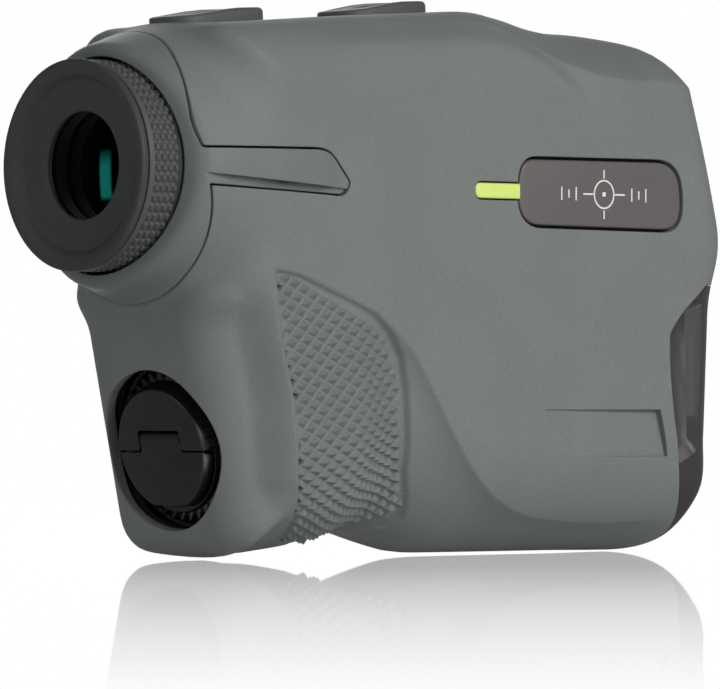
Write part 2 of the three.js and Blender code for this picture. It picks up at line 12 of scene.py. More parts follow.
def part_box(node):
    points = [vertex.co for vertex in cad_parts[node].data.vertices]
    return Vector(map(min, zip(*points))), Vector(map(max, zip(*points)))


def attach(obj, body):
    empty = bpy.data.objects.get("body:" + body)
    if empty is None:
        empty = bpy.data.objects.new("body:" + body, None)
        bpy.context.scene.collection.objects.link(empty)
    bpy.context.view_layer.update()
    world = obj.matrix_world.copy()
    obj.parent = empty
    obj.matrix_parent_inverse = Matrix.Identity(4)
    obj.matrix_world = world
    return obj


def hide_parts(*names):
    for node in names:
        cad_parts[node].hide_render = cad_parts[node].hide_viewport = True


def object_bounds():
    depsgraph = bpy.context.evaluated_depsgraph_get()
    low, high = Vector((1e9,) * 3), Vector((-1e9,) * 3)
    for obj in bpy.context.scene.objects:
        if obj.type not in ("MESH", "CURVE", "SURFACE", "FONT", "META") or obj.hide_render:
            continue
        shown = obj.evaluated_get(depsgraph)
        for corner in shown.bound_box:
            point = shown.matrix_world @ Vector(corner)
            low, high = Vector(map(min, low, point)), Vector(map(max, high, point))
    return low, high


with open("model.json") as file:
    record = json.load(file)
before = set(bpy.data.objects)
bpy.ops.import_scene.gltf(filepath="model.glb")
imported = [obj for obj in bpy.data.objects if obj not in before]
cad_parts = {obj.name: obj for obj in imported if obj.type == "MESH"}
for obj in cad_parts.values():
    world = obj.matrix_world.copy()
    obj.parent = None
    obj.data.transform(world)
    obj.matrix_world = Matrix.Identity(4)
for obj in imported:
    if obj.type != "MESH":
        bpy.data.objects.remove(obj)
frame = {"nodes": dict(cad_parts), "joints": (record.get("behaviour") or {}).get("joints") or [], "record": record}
CAD_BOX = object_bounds()

# ------------------------------------------------------------------ frame
# Shapes below are given in millimetres. Distances along X run from the
# eyecup's lip, y is to the user's left and z is up from the base.
MM = 0.001
LIP_X = CAD_BOX[0].x
EYE_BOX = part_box("eye_lens")
AXIS_Z = (EYE_BOX[0].z + EYE_BOX[1].z) / 2 / MM
RECEIVER_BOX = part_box("receiver_lens")
RECEIVER_Z = (RECEIVER_BOX[0].z + RECEIVER_BOX[1].z) / 2 / MM
HALF_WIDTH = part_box("rubber_armour")[1].y / MM
RIGHT, LEFT = -1, 1
SIDE_WORD = {RIGHT: "right", LEFT: "left"}
THROUGH = 25.0  # half the length of a tool that cuts across the whole body
FORM_ANGLE, SKIN_ANGLE, CAP_ANGLE = 60, 40, 38  # edges flatter than this are shaded smooth

CAP_JOINT = next(j for j in frame["joints"] if j["name"] == "cap_turn")
LEAN = math.asin(-CAP_JOINT["axis"][2])  # the battery line rises forwards by this
CAP_PIVOT_DEPTH = 2.0  # the cap's joint lies this far behind its face


class Line:
    """A turning axis: points on it are x along, then two across."""

    def __init__(self, origin, lean=0.0):
        self.origin = np.array(origin, float)
        self.x = np.array([math.cos(lean), 0, math.sin(lean)])
        self.y = np.array([0.0, 1.0, 0.0])
        self.z = np.array([-math.sin(lean), 0, math.cos(lean)])

    def place(self, points):
        p = np.asarray(points, float)
        return self.origin + p[:, :1] * self.x + p[:, 1:2] * self.y + p[:, 2:] * self.z


def from_row(point):
    return [(point[0] - LIP_X) / MM, point[1] / MM, point[2] / MM]


cap_pivot = from_row(CAP_JOINT["pos_m"])
CAP_FACE = [
    cap_pivot[0] - CAP_PIVOT_DEPTH * math.cos(LEAN),
    0,
    cap_pivot[2] - CAP_PIVOT_DEPTH * math.sin(LEAN),
]
EYE = Line([0, 0, AXIS_Z])
RECEIVER = Line([0, 0, RECEIVER_Z])
BATTERY = Line(CAP_FACE, LEAN)
PLAIN = Line([0, 0, 0])


# ------------------------------------------------------------- mesh helpers
def in_row_frame(points):
    p = np.array(points, float) * MM
    p[:, 0] += LIP_X
    return p


def placed(name, data):
    """A new object in the scene."""
    obj = bpy.data.objects.new(name, data)
    bpy.context.scene.collection.objects.link(obj)
    return obj


@contextmanager
def edited(obj):
    """An object's mesh, open for changes that are written back."""
    work = bmesh.new()
    work.from_mesh(obj.data)
    yield work
    work.to_mesh(obj.data)
    work.free()


def make(name, points, faces, smooth_angle=35.0):
    """A mesh object from points in millimetres."""
    mesh = bpy.data.meshes.new(name)
    mesh.from_pydata(in_row_frame(points).tolist(), [], [list(f) for f in faces])
    mesh.update()
    obj = placed(name, mesh)
    with edited(obj) as work:
        tidy(work)
        shade(work, smooth_angle)
    return obj


def tidy(work, merge=1e-7):
    """Welds and turns the faces outwards."""
    bmesh.ops.remove_doubles(work, verts=work.verts, dist=merge)
    bmesh.ops.dissolve_degenerate(work, edges=work.edges, dist=merge)
    bmesh.ops.recalc_face_normals(work, faces=work.faces)


def shade(work, smooth_angle):
    """Smooths what is not a real edge."""
    limit = math.radians(smooth_angle)
    for face in work.faces:
        face.smooth = True
    for edge in work.edges:
        edge.smooth = edge.calc_face_angle(0.0) < limit


def boolean(obj, tools, operation="DIFFERENCE", smooth_angle=35.0):
    """Cuts, joins or intersects with each tool in turn, then removes the tools."""
    for tool in tools:
        rest = obj.data
        for solver in ("MANIFOLD", "EXACT"):
            modifier = obj.modifiers.new("cut", "BOOLEAN")
            modifier.operation = operation
            modifier.object = tool
            modifier.solver = solver
            bpy.context.view_layer.update()
            graph = bpy.context.evaluated_depsgraph_get()
            made = bpy.data.meshes.new_from_object(obj.evaluated_get(graph))
            obj.modifiers.clear()
            if len(made.polygons) > 3 and not same_mesh(made, rest, operation):
                obj.data = made
                break
            print("boolean", obj.name, tool.name, solver, "kept nothing new")
        bpy.data.objects.remove(tool)
    with edited(obj) as work:
        shade(work, smooth_angle)
    return obj


def same_mesh(a, b, operation):
    return operation != "INTERSECT" and len(a.vertices) == len(b.vertices)


def eased(points, radius, closed=True, steps=3):
    """Rounds each corner of an outline. A corner may carry its own radius."""
    pts = [np.array(p[:2], float) for p in points]
    radii = [p[2] if len(p) > 2 else radius for p in points]
    out = []
    count = len(pts)
    for i, p in enumerate(pts):
        if not closed and i in (0, count - 1):
            out.append(p)
            continue
        before, after = pts[i - 1], pts[(i + 1) % count]
        a, b = before - p, after - p
        la, lb = np.linalg.norm(a), np.linalg.norm(b)
        reach = min(radii[i], 0.48 * la, 0.48 * lb)
        if reach < 1e-3:
            out.append(p)
            continue
        p0, p1 = p + a / la * reach, p + b / lb * reach
        for k in range(steps + 1):
            t = k / steps
            out.append((1 - t) ** 2 * p0 + 2 * t * (1 - t) * p + t * t * p1)
    return np.array(out)


def rings_mesh(name, rings, closed_rings=True, capped=True, smooth_angle=35.0):
    """Joins rings of equal length one after the other."""
    count, size = len(rings), len(rings[0])
    points = np.concatenate(rings)
    faces = []
    for i in range(count if closed_rings else count - 1):
        a, b = i * size, ((i + 1) % count) * size
        for j in range(size):
            k = (j + 1) % size
            faces.append((a + j, a + k, b + k, b + j))
    if not closed_rings and capped:
        faces.append(tuple(range(size)))
        faces.append(tuple(range((count - 1) * size, count * size)))
    return make(name, points, faces, smooth_angle)


def ring_at(angles, radius, x):
    """Points of a ring about a line, at x along it."""
    return np.stack([x + 0 * angles, radius * np.cos(angles), radius * np.sin(angles)], 1)


def turned(name, profile, line=EYE, soft=0.15, segments=128, smooth_angle=35.0):
    """A closed section of radius and x, turned about a line."""
    section = eased(profile, soft)
    angles = np.arange(segments) * 2 * math.pi / segments
    rings = [line.place(ring_at(angles, max(r, 0.0), x)) for r, x in section]
    return rings_mesh(name, rings, smooth_angle=smooth_angle)


def slab(name, outline, y0, y1, line=PLAIN, bevel=0.0, steps=2, smooth_angle=35.0):
    """An outline in x and z carried across from y0 to y1, with rounded edges."""
    base = np.array(outline, float)
    sign = 1 if y1 > y0 else -1
    levels = [(0.0, y0)]
    if bevel:
        for k in range(steps + 1):
            turn = math.pi / 2 * k / steps
            levels.append((bevel * (1 - math.cos(turn)), y1 - sign * bevel * (1 - math.sin(turn))))
    else:
        levels.append((0.0, y1))
    rings = []
    for inset, y in levels:
        p = shrunk(base, inset)
        rings.append(line.place(np.stack([p[:, 0], np.full(len(p), y), p[:, 1]], 1)))
    return rings_mesh(name, rings, closed_rings=False, smooth_angle=smooth_angle)


def shrunk(outline, inset):
    """Moves an outline inwards (or outwards when inset is negative)."""
    if abs(inset) < 1e-9:
        return outline
    before = outline - np.roll(outline, 1, 0)
    after = np.roll(outline, -1, 0) - outline
    n0 = np.stack([-before[:, 1], before[:, 0]], 1)
    n1 = np.stack([-after[:, 1], after[:, 0]], 1)
    n0 /= np.linalg.norm(n0, axis=1)[:, None] + 1e-12
    n1 /= np.linalg.norm(n1, axis=1)[:, None] + 1e-12
    both = n0 + n1
    both /= np.linalg.norm(both, axis=1)[:, None] + 1e-12
    scale = 1 / np.clip((both * n1).sum(1), 0.5, 1)
    area = 0.5 * np.sum(outline[:, 0] * np.roll(outline[:, 1], -1) - np.roll(outline[:, 0],
        -1) * outline[:, 1])
    return outline + both * (scale * inset * np.sign(area))[:, None]


def joined(name, objects):
    """Several closed shells as one object."""
    work = bmesh.new()
    for obj in objects:
        work.from_mesh(obj.data)
    mesh = bpy.data.meshes.new(name)
    work.to_mesh(mesh)
    work.free()
    for obj in objects:
        bpy.data.objects.remove(obj)
    return placed(name, mesh)


def rod(name, radius, x0, x1, y=0.0, z=0.0, along="y", segments=32, line=PLAIN):
    """A plain cylinder used as a cutting tool or a hidden stem."""
    angles = np.arange(segments) * 2 * math.pi / segments
    c, s = radius * np.cos(angles), radius * np.sin(angles)
    rings = []
    for end in (x0, x1):
        level = np.full(segments, end)
        if along == "y":
            ring = np.stack([y + c, level, z + s], 1)
        elif along == "z":
            ring = np.stack([y + c, z + s, level], 1)
        else:
            ring = np.stack([level, y + c, z + s], 1)
        rings.append(line.place(ring))
    return rings_mesh(name, rings, closed_rings=False)


# ------------------------------------------------------------ the body's form
CELL = 0.62
WALL = 1.5
HOUSING_GAP = 0.3
HOUSING_WALL = 1.6

BODY_OUTLINE = [
    [19.35, 0, 8], [31, 0, 4], [46.5, 4.6, 8], [60, 0, 6], [106.6, 0, 3], [107.9, 14, 5],
    [109, 36.5, 2.5], [111.7, 44.4, 4.5], [108.8, 56, 5], [103.4, 72.9, 7], [93, 75.0, 4],
    [82.5, 75.0, 4], [74.5, 76.9, 5], [66, 77.4, 5], [40, 75.7, 4], [14.5, 73.7, 3], [13.5, 60, 3],
    [13.5, 40, 3], [11.4, 36, 3],
]
BOTTOM_LINE = [[0, 0], [31, 0], [38, 1.6], [46.5, 3.4], [54, 1.4], [60, 0], [130, 0]]
DOME_RADIUS = [[0, 14.7], [4, 16.4], [6, 17.1], [8.7, 18.0], [10.5, 18.6], [13, 19.15], [16, 19.4],
               [60, 19.4]]
DOME_RIM_X = 4.6
DOME_RIM_SCALLOP = 3.3  # the rim is set forward at the sides, where fingers reach the ring
DOME_END_X = 30
BELLY_R = 17.5  # the underside is nearly a half round

# The grip patch: x, then height measured round the belly.
GRIP_OUTLINE = [
    [20.3, 39.8], [24.8, 39.2], [33.4, 36.2], [39.2, 34], [42.4, 31.5], [45.1, 28.3], [46.7, 24.1],
    [48, 17.7], [49.2, 12], [51.6, 7.2], [53.2, 3.4], [52.6, 0.9], [50.6, -0.8], [47.3, -2.4], [40, -4.5],
    [31.5, -4.5], [30.4, -1.7], [28.4, 3.6], [26.6, 8.5], [25.1, 12.2], [24.5, 16.7], [23.8, 21.9],
    [22.8, 26.1], [21.4, 31.3],
]
GRIP_SUNK = 0.75
RIDGE_X = [
    [0, 31], [2, 30.2], [5, 28.0], [8.9, 26.3], [11, 25.2], [16.7, 24.4], [21.9, 23.8], [26, 22.8],
    [31.3, 21.4], [38.7, 20.2], [80, 20.2],
]

LOBE_EDGE = eased([
    [38, 35.5], [40.5, 33.5], [43.5, 31.3], [46.6, 28.6], [49.8, 24.1], [53.8, 17.8], [58.4, 12.2],
    [64.5, 8.1], [72.5, 5.4], [86, 4.2], [95, 4.4], [104, 4.6], [125, 4.6],
], 4, closed=False)
TOP_PANEL_EDGE = [[30, 71.4], [45, 72.2], [58.7, 73], [63.9, 72.6], [69.2, 71.4], [73, 69.4], [78.3, 66.2],
                  [84, 62]]
TOP_FRONT_EDGE = [[60, 76.8], [66, 75.2], [70.6, 73.2], [76.5, 70.6], [83.5, 68.6], [90.3, 68],
                  [96.5, 68.2], [103, 67.4], [112, 62]]
LOWER_RECESS = [[72, 20.6], [95.6, 20.6], [97.3, 13.9], [78.9, 13.9]]
LOWER_RECESS_DEPTH = [0.1, 1.0, 0.45, 0.02]
TONGUE_RAIL = [[7.6, 53.0], [33.6, 51.15], [35.0, 47.0], [7.6, 48.5]]
TONGUE_RAIL_DEPTH = [1.75, 0.5, 0.5, 1.75]


def step(lo, hi, x):
    t = np.clip((x - lo) / (hi - lo), 0, 1)
    return t * t * (3 - 2 * t)


def segment_distance(points, px, pz, closed):
    """Unsigned distance to a line of points, and which side of it a place lies on."""
    best = np.full(px.shape, 1e9)
    side = np.zeros(px.shape)
    count = len(points)
    for i in range(count if closed else count - 1):
        a, b = np.array(points[i][:2], float), np.array(points[(i + 1) % count][:2], float)
        ab = b - a
        t = np.clip(((px - a[0]) * ab[0] + (pz - a[1]) * ab[1]) / (ab @ ab), 0, 1)
        dx, dz = px - a[0] - t * ab[0], pz - a[1] - t * ab[1]
        d = np.hypot(dx, dz)
        cross = ab[0] * (pz - a[1]) - ab[1] * (px - a[0])
        nearer = d < best
        side = np.where(nearer, np.sign(cross), side)
        best = np.where(nearer, d, best)
    return best, side


def inside_of(points, px, pz):
    """Even-odd test of a closed outline."""
    hit = np.zeros(px.shape, bool)
    count = len(points)
    for i in range(count):
        (x0, z0), (x1, z1) = points[i][:2], points[(i + 1) % count][:2]
        if z0 == z1:
            continue
        crosses = (z0 > pz) != (z1 > pz)
        hit ^= crosses & (px < (x1 - x0) * (pz - z0) / (z1 - z0) + x0)
    return hit


def outline_depth(points, px, pz):
    """Signed distance to a closed outline, negative inside."""
    d, _ = segment_distance(points, px, pz, True)
    return np.where(inside_of(points, px, pz), -d, d)


def above_line(points, px, pz):
    """Signed distance to an open line, positive to the left of its direction."""
    d, side = segment_distance(points, px, pz, False)
    return d * side


def table(rows, at):
    rows = np.array(rows, float)
    return np.interp(at, rows[:, 0], rows[:, 1])


def belly(px, pz):
    """How far the round underside draws the side in at a height."""
    drop = BELLY_R - np.clip(pz - table(BOTTOM_LINE, px), 0, BELLY_R)
    return BELLY_R - np.sqrt(np.maximum(BELLY_R**2 - drop**2, 0))


def round_belly(px, pz):
    """Height measured along the side's curve, so that a pattern is not stretched."""
    low = table(BOTTOM_LINE, px)
    drop = np.clip((low + BELLY_R - pz) / BELLY_R, 0, 1)
    return np.where(drop > 0, low + BELLY_R * (1 - np.arcsin(drop)), pz)


def crease(distance, depth, reach):
    """A crisp edge at zero that falls away by depth on the negative side."""
    return depth * (1 - np.exp(np.minimum(distance, 0) / reach))


def half_width(px, pz):
    """Half the body's width over the side view."""
    width = HALF_WIDTH - 0.1 - belly(px, pz) * (0.3 + 0.7 * step(20, 27, px))
    # The rear column is narrower than the grip, with a valley between them.
    column = 15.1 + 4.3 * step(31, 41, pz)
    ridge = table(RIDGE_X, pz)
    flare = step(ridge - 4.6, ridge + 0.4, px)
    width = np.minimum(width, column + np.maximum(width - column, 0) * flare)
    # The waist behind the front lobe, and the undercut below it.
    lobe = above_line(LOBE_EDGE, px, pz)
    fade = step(36, 47, px)
    width = width - fade * crease(lobe, 2.9, 2.8) * step(107, 90, px)
    # The grip's sunk patch, its floor level with the band round it.
    grip = outline_depth(GRIP_OUTLINE, px, round_belly(px, pz))
    width = width - GRIP_SUNK * step(0.35, -0.5, grip)
    # The side panel stands proud of the shoulder above and in front of it.
    panel = above_line(TOP_PANEL_EDGE, px, pz)
    panel_fade = step(24, 40, px) * step(84, 76, px)
    width = width - 1.1 * panel_fade * step(-0.6, 2.4, panel)
    front = above_line(TOP_FRONT_EDGE, px, pz)
    return width - np.clip(front + 0.15, 0, 12) * 0.8 * step(62, 72, px)


def edge_radius(px, pz):
    radius = 9.2 - 3.2 * step(92, 103, px)
    lower = step(17, 8, pz) * step(30, 38, px)
    radius = radius + (2.4 - radius) * lower
    rear = step(29, 23, px) * step(42, 34, pz)
    return radius + (7.4 - radius) * rear


def round_max(a, b, radius):
    u, v = np.maximum(a + radius, 0), np.maximum(b + radius, 0)
    return np.where((u > 0) & (v > 0), np.hypot(u, v) - radius, np.maximum(a, b))


def smooth_min(a, b, k):
    h = np.clip(0.5 + 0.5 * (b - a) / k, 0, 1)
    return b + (a - b) * h - k * h * (1 - h)


class Grid:
    """A regular lattice of sample points around the body."""

    def __init__(self, cell):
        self.cell = cell
        self.low = np.array([2.0, -21.5, -2.5]) + 0.137 * cell
        size = np.array([112.5, 21.5, 80.5]) - self.low
        self.count = np.ceil(size / cell).astype(int) + 1
        self.x, self.y, self.z = (self.low[k] + np.arange(self.count[k]) * cell for k in range(3))


def combined(flat, width, radius, x, y, z):
    body = round_max(flat, np.abs(y) - width, radius)
    reach = np.hypot(y, z - AXIS_Z)
    rim = DOME_RIM_X + DOME_RIM_SCALLOP * (y / 17.0) ** 2
    dome = round_max(reach - table(DOME_RADIUS, x), np.maximum(rim - x, x - DOME_END_X), 1.1)
    return smooth_min(body, dome, 2.4)


SIDE_OUTLINE = eased(BODY_OUTLINE, 3, steps=6)


def body_field(grid, offset=0.0):
    """Distance-like field of the whole form, negative inside, shrunk by offset."""
    px, pz = np.meshgrid(grid.x, grid.z, indexing="ij")
    shape = (len(grid.x), len(grid.y), len(grid.z))
    flat = np.broadcast_to(outline_depth(SIDE_OUTLINE, px, pz)[:, None, :], shape)
    width, radius = half_width(px, pz)[:, None, :], edge_radius(px, pz)[:, None, :]
    return combined(flat, width, radius, grid.x[:, None, None], grid.y[None, :, None],
                    grid.z[None, None, :]) + offset


def field_at(points, offset=0.0):
    """The same field at single points."""
    x, y, z = points.T
    flat = outline_depth(SIDE_OUTLINE, x, z)
    return combined(flat, half_width(x, z), edge_radius(x, z), x, y, z) + offset


def settle(points, offset, rounds=2, reach=0.02):
    """Moves points along the slope onto the form itself."""
    for _ in range(rounds):
        value = field_at(points, offset)
        slope = np.stack([field_at(points + reach * axis, offset) - value for axis in np.eye(3)], 1) / reach
        square = np.maximum((slope**2).sum(1), 0.3)
        shift = -slope * (value / square)[:, None]
        size = np.linalg.norm(shift, axis=1)[:, None]
        points = points + shift * np.minimum(1, 0.4 / np.maximum(size, 1e-9))
    return points


def near_crease(points):
    """Places close to a crisp line of the sides."""
    x, y, z = points.T
    nearest = np.abs(outline_depth(GRIP_OUTLINE, x, round_belly(x, z)))
    for line in (LOBE_EDGE, TOP_PANEL_EDGE, TOP_FRONT_EDGE):
        nearest = np.minimum(nearest, segment_distance(line, x, z, False)[0])
    return (nearest < 0.8) & (np.abs(y) > 3)


def refined(obj, offset):
    """Quarters the faces along crisp lines and settles everything again."""
    with edited(obj) as work:
        work.faces.ensure_lookup_table()
        centres = np.array([from_row(f.calc_center_median()) for f in work.faces])
        chosen = near_crease(centres)
        edges = {e for f, near in zip(work.faces, chosen) if near for e in f.edges}
        bmesh.ops.subdivide_edges(work, edges=list(edges), cuts=1, use_grid_fill=True)
        points = np.array([from_row(v.co) for v in work.verts])
        moved = in_row_frame(settle(points, offset, 3))
        for vert, place in zip(work.verts, moved):
            vert.co = place
        shade(work, FORM_ANGLE)
    return obj


def surface_net(values, grid):
    """A closed quad mesh along the field's zero level."""
    neg = values < 0
    corners = [(i, j, k) for i in (0, 1) for j in (0, 1) for k in (0, 1)]
    nx, ny, nz = values.shape
    total = np.zeros((nx - 1, ny - 1, nz - 1), np.int8)
    for i, j, k in corners:
        total += neg[i : nx - 1 + i, j : ny - 1 + j, k : nz - 1 + k]
    cells = np.argwhere((total > 0) & (total < 8))
    index = np.full(total.shape, -1, np.int64)
    index[tuple(cells.T)] = np.arange(len(cells))
    place, seen = np.zeros((len(cells), 3)), np.zeros(len(cells))
    for a in corners:
        for axis in range(3):
            if a[axis]:
                continue
            b = list(a)
            b[axis] = 1
            va = values[tuple((cells + a).T)]
            vb = values[tuple((cells + b).T)]
            cut = (va < 0) != (vb < 0)
            t = np.where(cut, va / np.where(va == vb, 1, va - vb), 0)
            spot = np.tile(np.array(a, float), (len(cells), 1))
            spot[:, axis] += t
            place += np.where(cut[:, None], spot, 0)
            seen += cut
    points = grid.low + (cells + place / seen[:, None]) * grid.cell
    faces = []
    for axis in range(3):
        u, v = (axis + 1) % 3, (axis + 2) % 3
        lead = [slice(None)] * 3
        lead[axis] = slice(0, -1)
        tail = [slice(None)] * 3
        tail[axis] = slice(1, None)
        first, second = neg[tuple(lead)], neg[tuple(tail)]
        edges = np.argwhere(first != second)
        keep = (edges[:, u] > 0) & (edges[:, v] > 0)
        edges = edges[keep]
        out = first[tuple(edges.T)]
        quad = []
        for du, dv in ((-1, -1), (0, -1), (0, 0), (-1, 0)):
            near = edges.copy()
            near[:, u] += du
            near[:, v] += dv
            quad.append(index[tuple(near.T)])
        quad = np.stack(quad, 1)
        quad[~out] = quad[~out][:, ::-1]
        faces.append(quad)
    return points, np.concatenate(faces)


def relax(points, faces, values, grid, rounds=3):
    """Evens the mesh out and returns it to the field's zero level."""
    a, b = faces.T.ravel(), np.roll(faces, -1, 1).T.ravel()
    count = np.bincount(a, minlength=len(points)) + np.bincount(b, minlength=len(points))
    for _ in range(rounds):
        mean = np.stack(
            [np.bincount(a, points[b, k], len(points)) + np.bincount(b, points[a, k],
                                                                     len(points)) for k in range(3)], 1
        ) / count[:, None]
        points = points + 0.6 * (mean - points)
        for _ in range(2):
            value, slope = sample(points, values, grid)
            square = (slope**2).sum(1) + 1e-9
            points = points - slope * (value / square)[:, None]
    return points


def sample(points, values, grid):
    """The field and its slope at any points, by trilinear interpolation."""
    q = (points - grid.low) / grid.cell
    i = np.clip(np.floor(q).astype(int), 0, np.array(values.shape) - 2)
    f = q - i
    c = [[[values[i[:, 0] + a, i[:, 1] + b, i[:, 2] + d] for d in (0, 1)] for b in (0, 1)] for a in (0, 1)]
    fx, fy, fz = f.T
    x0 = [[c[0][b][d] * (1 - fx) + c[1][b][d] * fx for d in (0, 1)] for b in (0, 1)]
    y0 = [x0[0][d] * (1 - fy) + x0[1][d] * fy for d in (0, 1)]
    value = y0[0] * (1 - fz) + y0[1] * fz
    gx = sum(
        (c[1][b][d] - c[0][b][d]) * (fy if b else 1 - fy) * (fz if d else 1 - fz) for b in (0,
            1) for d in (0, 1)
    )
    gy = sum((x0[1][d] - x0[0][d]) * (fz if d else 1 - fz) for d in (0, 1))
    gz = y0[1] - y0[0]
    return value, np.stack([gx, gy, gz], 1) / grid.cell


def form(name, cell, offset, rounds=3):
    """The body's form as a closed mesh, shrunk by offset."""
    grid = Grid(cell)
    values = body_field(grid, offset)
    points, faces = surface_net(values, grid)
    points = settle(relax(points, faces, values, grid, rounds), offset, 1)
    return make(name, points, faces.tolist(), smooth_angle=FORM_ANGLE)


# ------------------------------------------------------------------ pieces
PLATE_OUTLINE = eased(
    [[67.2, 56.15, 3.2], [99.6, 56.3, 6.4], [100.0, 46.5, 4.0], [66.8, 46.8, 5.8]], 1, steps=8
)
ACCENT_OUTLINE = eased([[58.4, 52.6, 1.05], [67.4, 52.6, 0.2], [67.4, 50.4, 0.2], [58.4, 50.4, 1.05]], 1,
                       steps=5)
SEAM = [
    [-5, 20], [10.8, 20], [10.8, 42, 4], [10.1, 47.5, 3], [9.2, 51.5, 0.5], [33.0, 50.4, 0.9],
    [34.0, 52.0, 0.7], [30.9, 55.5, 1.2], [28.5, 56.45, 1.5], [8.3, 56.3, 0.5], [7.5, 59.5, 2],
    [7.6, 64, 3], [9.0, 68.8, 3], [10.4, 72, 2], [10.8, 74], [10.8, 90], [-5, 90],
]
SEAM_GAP = 0.32
BEZEL_SIDE = [
    [97.6, 31.6, 0.8], [97.7, 26.3, 2], [98.5, 19.7, 2], [99.8, 13.5, 2], [101.5, 9.5, 2],
    [103.6, 5.8, 1], [105.4, 2.6, 1], [106, -3], [120, -3], [120, 38.6], [105.4, 38.6, 0.6],
    [100.2, 34.6, 1.0],
]
BEZEL_FACE = [[104.6, 36], [120, 36], [120, 68.5], [101.4, 68.5, 1], [105.6, 56, 3], [107.4, 45, 3],
              [106.3, 39.4]]
BEZEL_FACE_HALF = 15.6
BUTTONS = {
    "mode": {"x": (16.5, 33.1), "top": 1.75},
    "power": {"x": (48.5, 64.6), "top": 2.0},
}
BUTTON_HALF = 5.0
RIDGE_START, RIDGE_END = (14.5, 74.1), (66.0, 77.1)
RIDGE_TILT = math.atan2(RIDGE_END[1] - RIDGE_START[1], RIDGE_END[0] - RIDGE_START[0])


def ridge_height(x):
    return RIDGE_START[1] + (x - RIDGE_START[0]) * math.tan(RIDGE_TILT)


def button_plan(x0, x1, grow=0.0):
    """Seen from above: rounded ends, slightly bowed sides. Centred on the pad."""
    half = (x1 - x0) / 2 + grow
    wide = BUTTON_HALF + grow
    points = []
    for k in range(72):
        a = 2 * math.pi * k / 72
        c, s = math.cos(a), math.sin(a)
        points.append([half * np.sign(c) * abs(c) ** 0.5, wide * np.sign(s) * abs(s) ** 0.62])
    return np.array(points)


def button_rings(x0, x1, levels, grow=0.0, ramp=0.0):
    middle, half = (x0 + x1) / 2, (x1 - x0) / 2
    plan = button_plan(x0, x1, grow)
    c, s = math.cos(RIDGE_TILT), math.sin(RIDGE_TILT)
    rings = []
    for inset, height in levels:
        p = shrunk(plan, inset)
        u, w = p[:, 0], p[:, 1]
        level = height - ramp * max(height, 0) * step(0.35, -1.0, u / half)
        rings.append(np.stack([middle + u * c - level * s, w, ridge_height(middle) + u * s + level * c], 1))
    return rings


def button_piece(kind):
    x0, x1 = BUTTONS[kind]["x"]
    top = BUTTONS[kind]["top"]
    levels = [(0.3, -0.9), (0.0, -0.7), (0.0, top - 0.7)]
    for k in range(1, 5):
        turn = math.pi / 2 * k / 4
        levels.append((0.7 * (1 - math.cos(turn)), top - 0.7 * (1 - math.sin(turn))))
    levels += [(1.3, top + 0.02), (1.7, top - 0.12), (2.1, top - 0.18), (3.6, top - 0.18)]
    pad = rings_mesh(kind + "_pad", button_rings(x0, x1, levels, ramp=0.5), closed_rings=False,
                     smooth_angle=50)
    stem = rod("stem", 2.0, 71.5, ridge_height((x0 + x1) / 2) - 0.3, (x0 + x1) / 2, 0, along="z")
    return boolean(pad, [stem], "UNION", 50)


def button_tool(kind):
    x0, x1 = BUTTONS[kind]["x"]
    return rings_mesh("hole", button_rings(x0, x1, [(0, -4), (0, 4)], 0.35), closed_rings=False)


def pocket_tool(outline, depth, grow, side):
    """A straight-walled pocket sunk into a side."""
    shape = shrunk(outline, -grow)
    return slab("pocket", shape, side * (HALF_WIDTH - depth), side * (HALF_WIDTH + 5))


def front_cuts():
    """Windows in the bezel's face: each a stepped round opening."""
    hood = turned("hood", [[0, 101.4], [12.5, 101.4], [12.5, 107.0], [14.2, 109.2], [14.2, 125], [0, 125]],
                  EYE, 0.2)
    bore = turned("bore", [[0, 90], [13.4, 90], [13.4, 101.6], [0, 101.6]], EYE, 0.01)
    eye = turned("eye", [[0, 103.0], [12.5, 103.0], [12.5, 106.0], [13.9, 108.0], [13.9, 125], [0, 125]],
                 RECEIVER, 0.2)
    cell = turned("cell", [[0, 90], [13.4, 90], [13.4, 105.0], [0, 105.0]], RECEIVER, 0.01)
    return [hood, bore, eye, cell]


def front_plate():
    """The flat inner face that the two windows are set in."""
    shape = eased(
        [[102.4, 8.8, 1], [105.2, 9.4, 2], [106.3, 14, 3], [107.0, 36, 3], [108.4, 44.4, 3],
         [106.8, 55, 3], [102.4, 68, 1],
         [99.4, 67.4, 1], [99.6, 8.8, 1]], 1, steps=4,
    )
    return slab("plate", shape, -15.0, 15.0)


def side_recess(side):
    """The bezel's sunk flank, which ends below in a slanting facet."""
    outer = eased(
        [[94, 36.5], [104.8, 36.5, 1.2], [104.2, 20, 2], [103.5, 13.9, 0.6], [99.4, 10.6, 0.3],
         [94, 9]], 1, steps=3
    )
    inner = eased(
        [[94, 35.5], [102.4, 35.5, 1.2], [102.4, 20, 2], [102.3, 16.2, 0.6], [99.4, 14.0, 0.3],
         [94, 12]], 1, steps=3
    )
    rings = []
    for shape, y in ((outer, HALF_WIDTH + 0.6), (outer, HALF_WIDTH), (inner, HALF_WIDTH - 1.5)):
        rings.append(np.stack([shape[:, 0], np.full(len(shape), side * y), shape[:, 1]], 1))
    return rings_mesh("flank", rings, closed_rings=False)


def wedge(name, side, places, widths):
    """A tool with a slanting floor: each corner of an outline at its own half width."""
    inner = [[x, side * width, z] for (x, z), width in zip(places, widths)]
    outer = [[x, side * (HALF_WIDTH + 3), z] for x, z in places]
    walls = [(k, k + 4, (k + 1) % 4 + 4, (k + 1) % 4) for k in range(4)]
    return make(name, np.array(inner + outer, float), [(0, 1, 2, 3), (7, 6, 5, 4)] + walls)


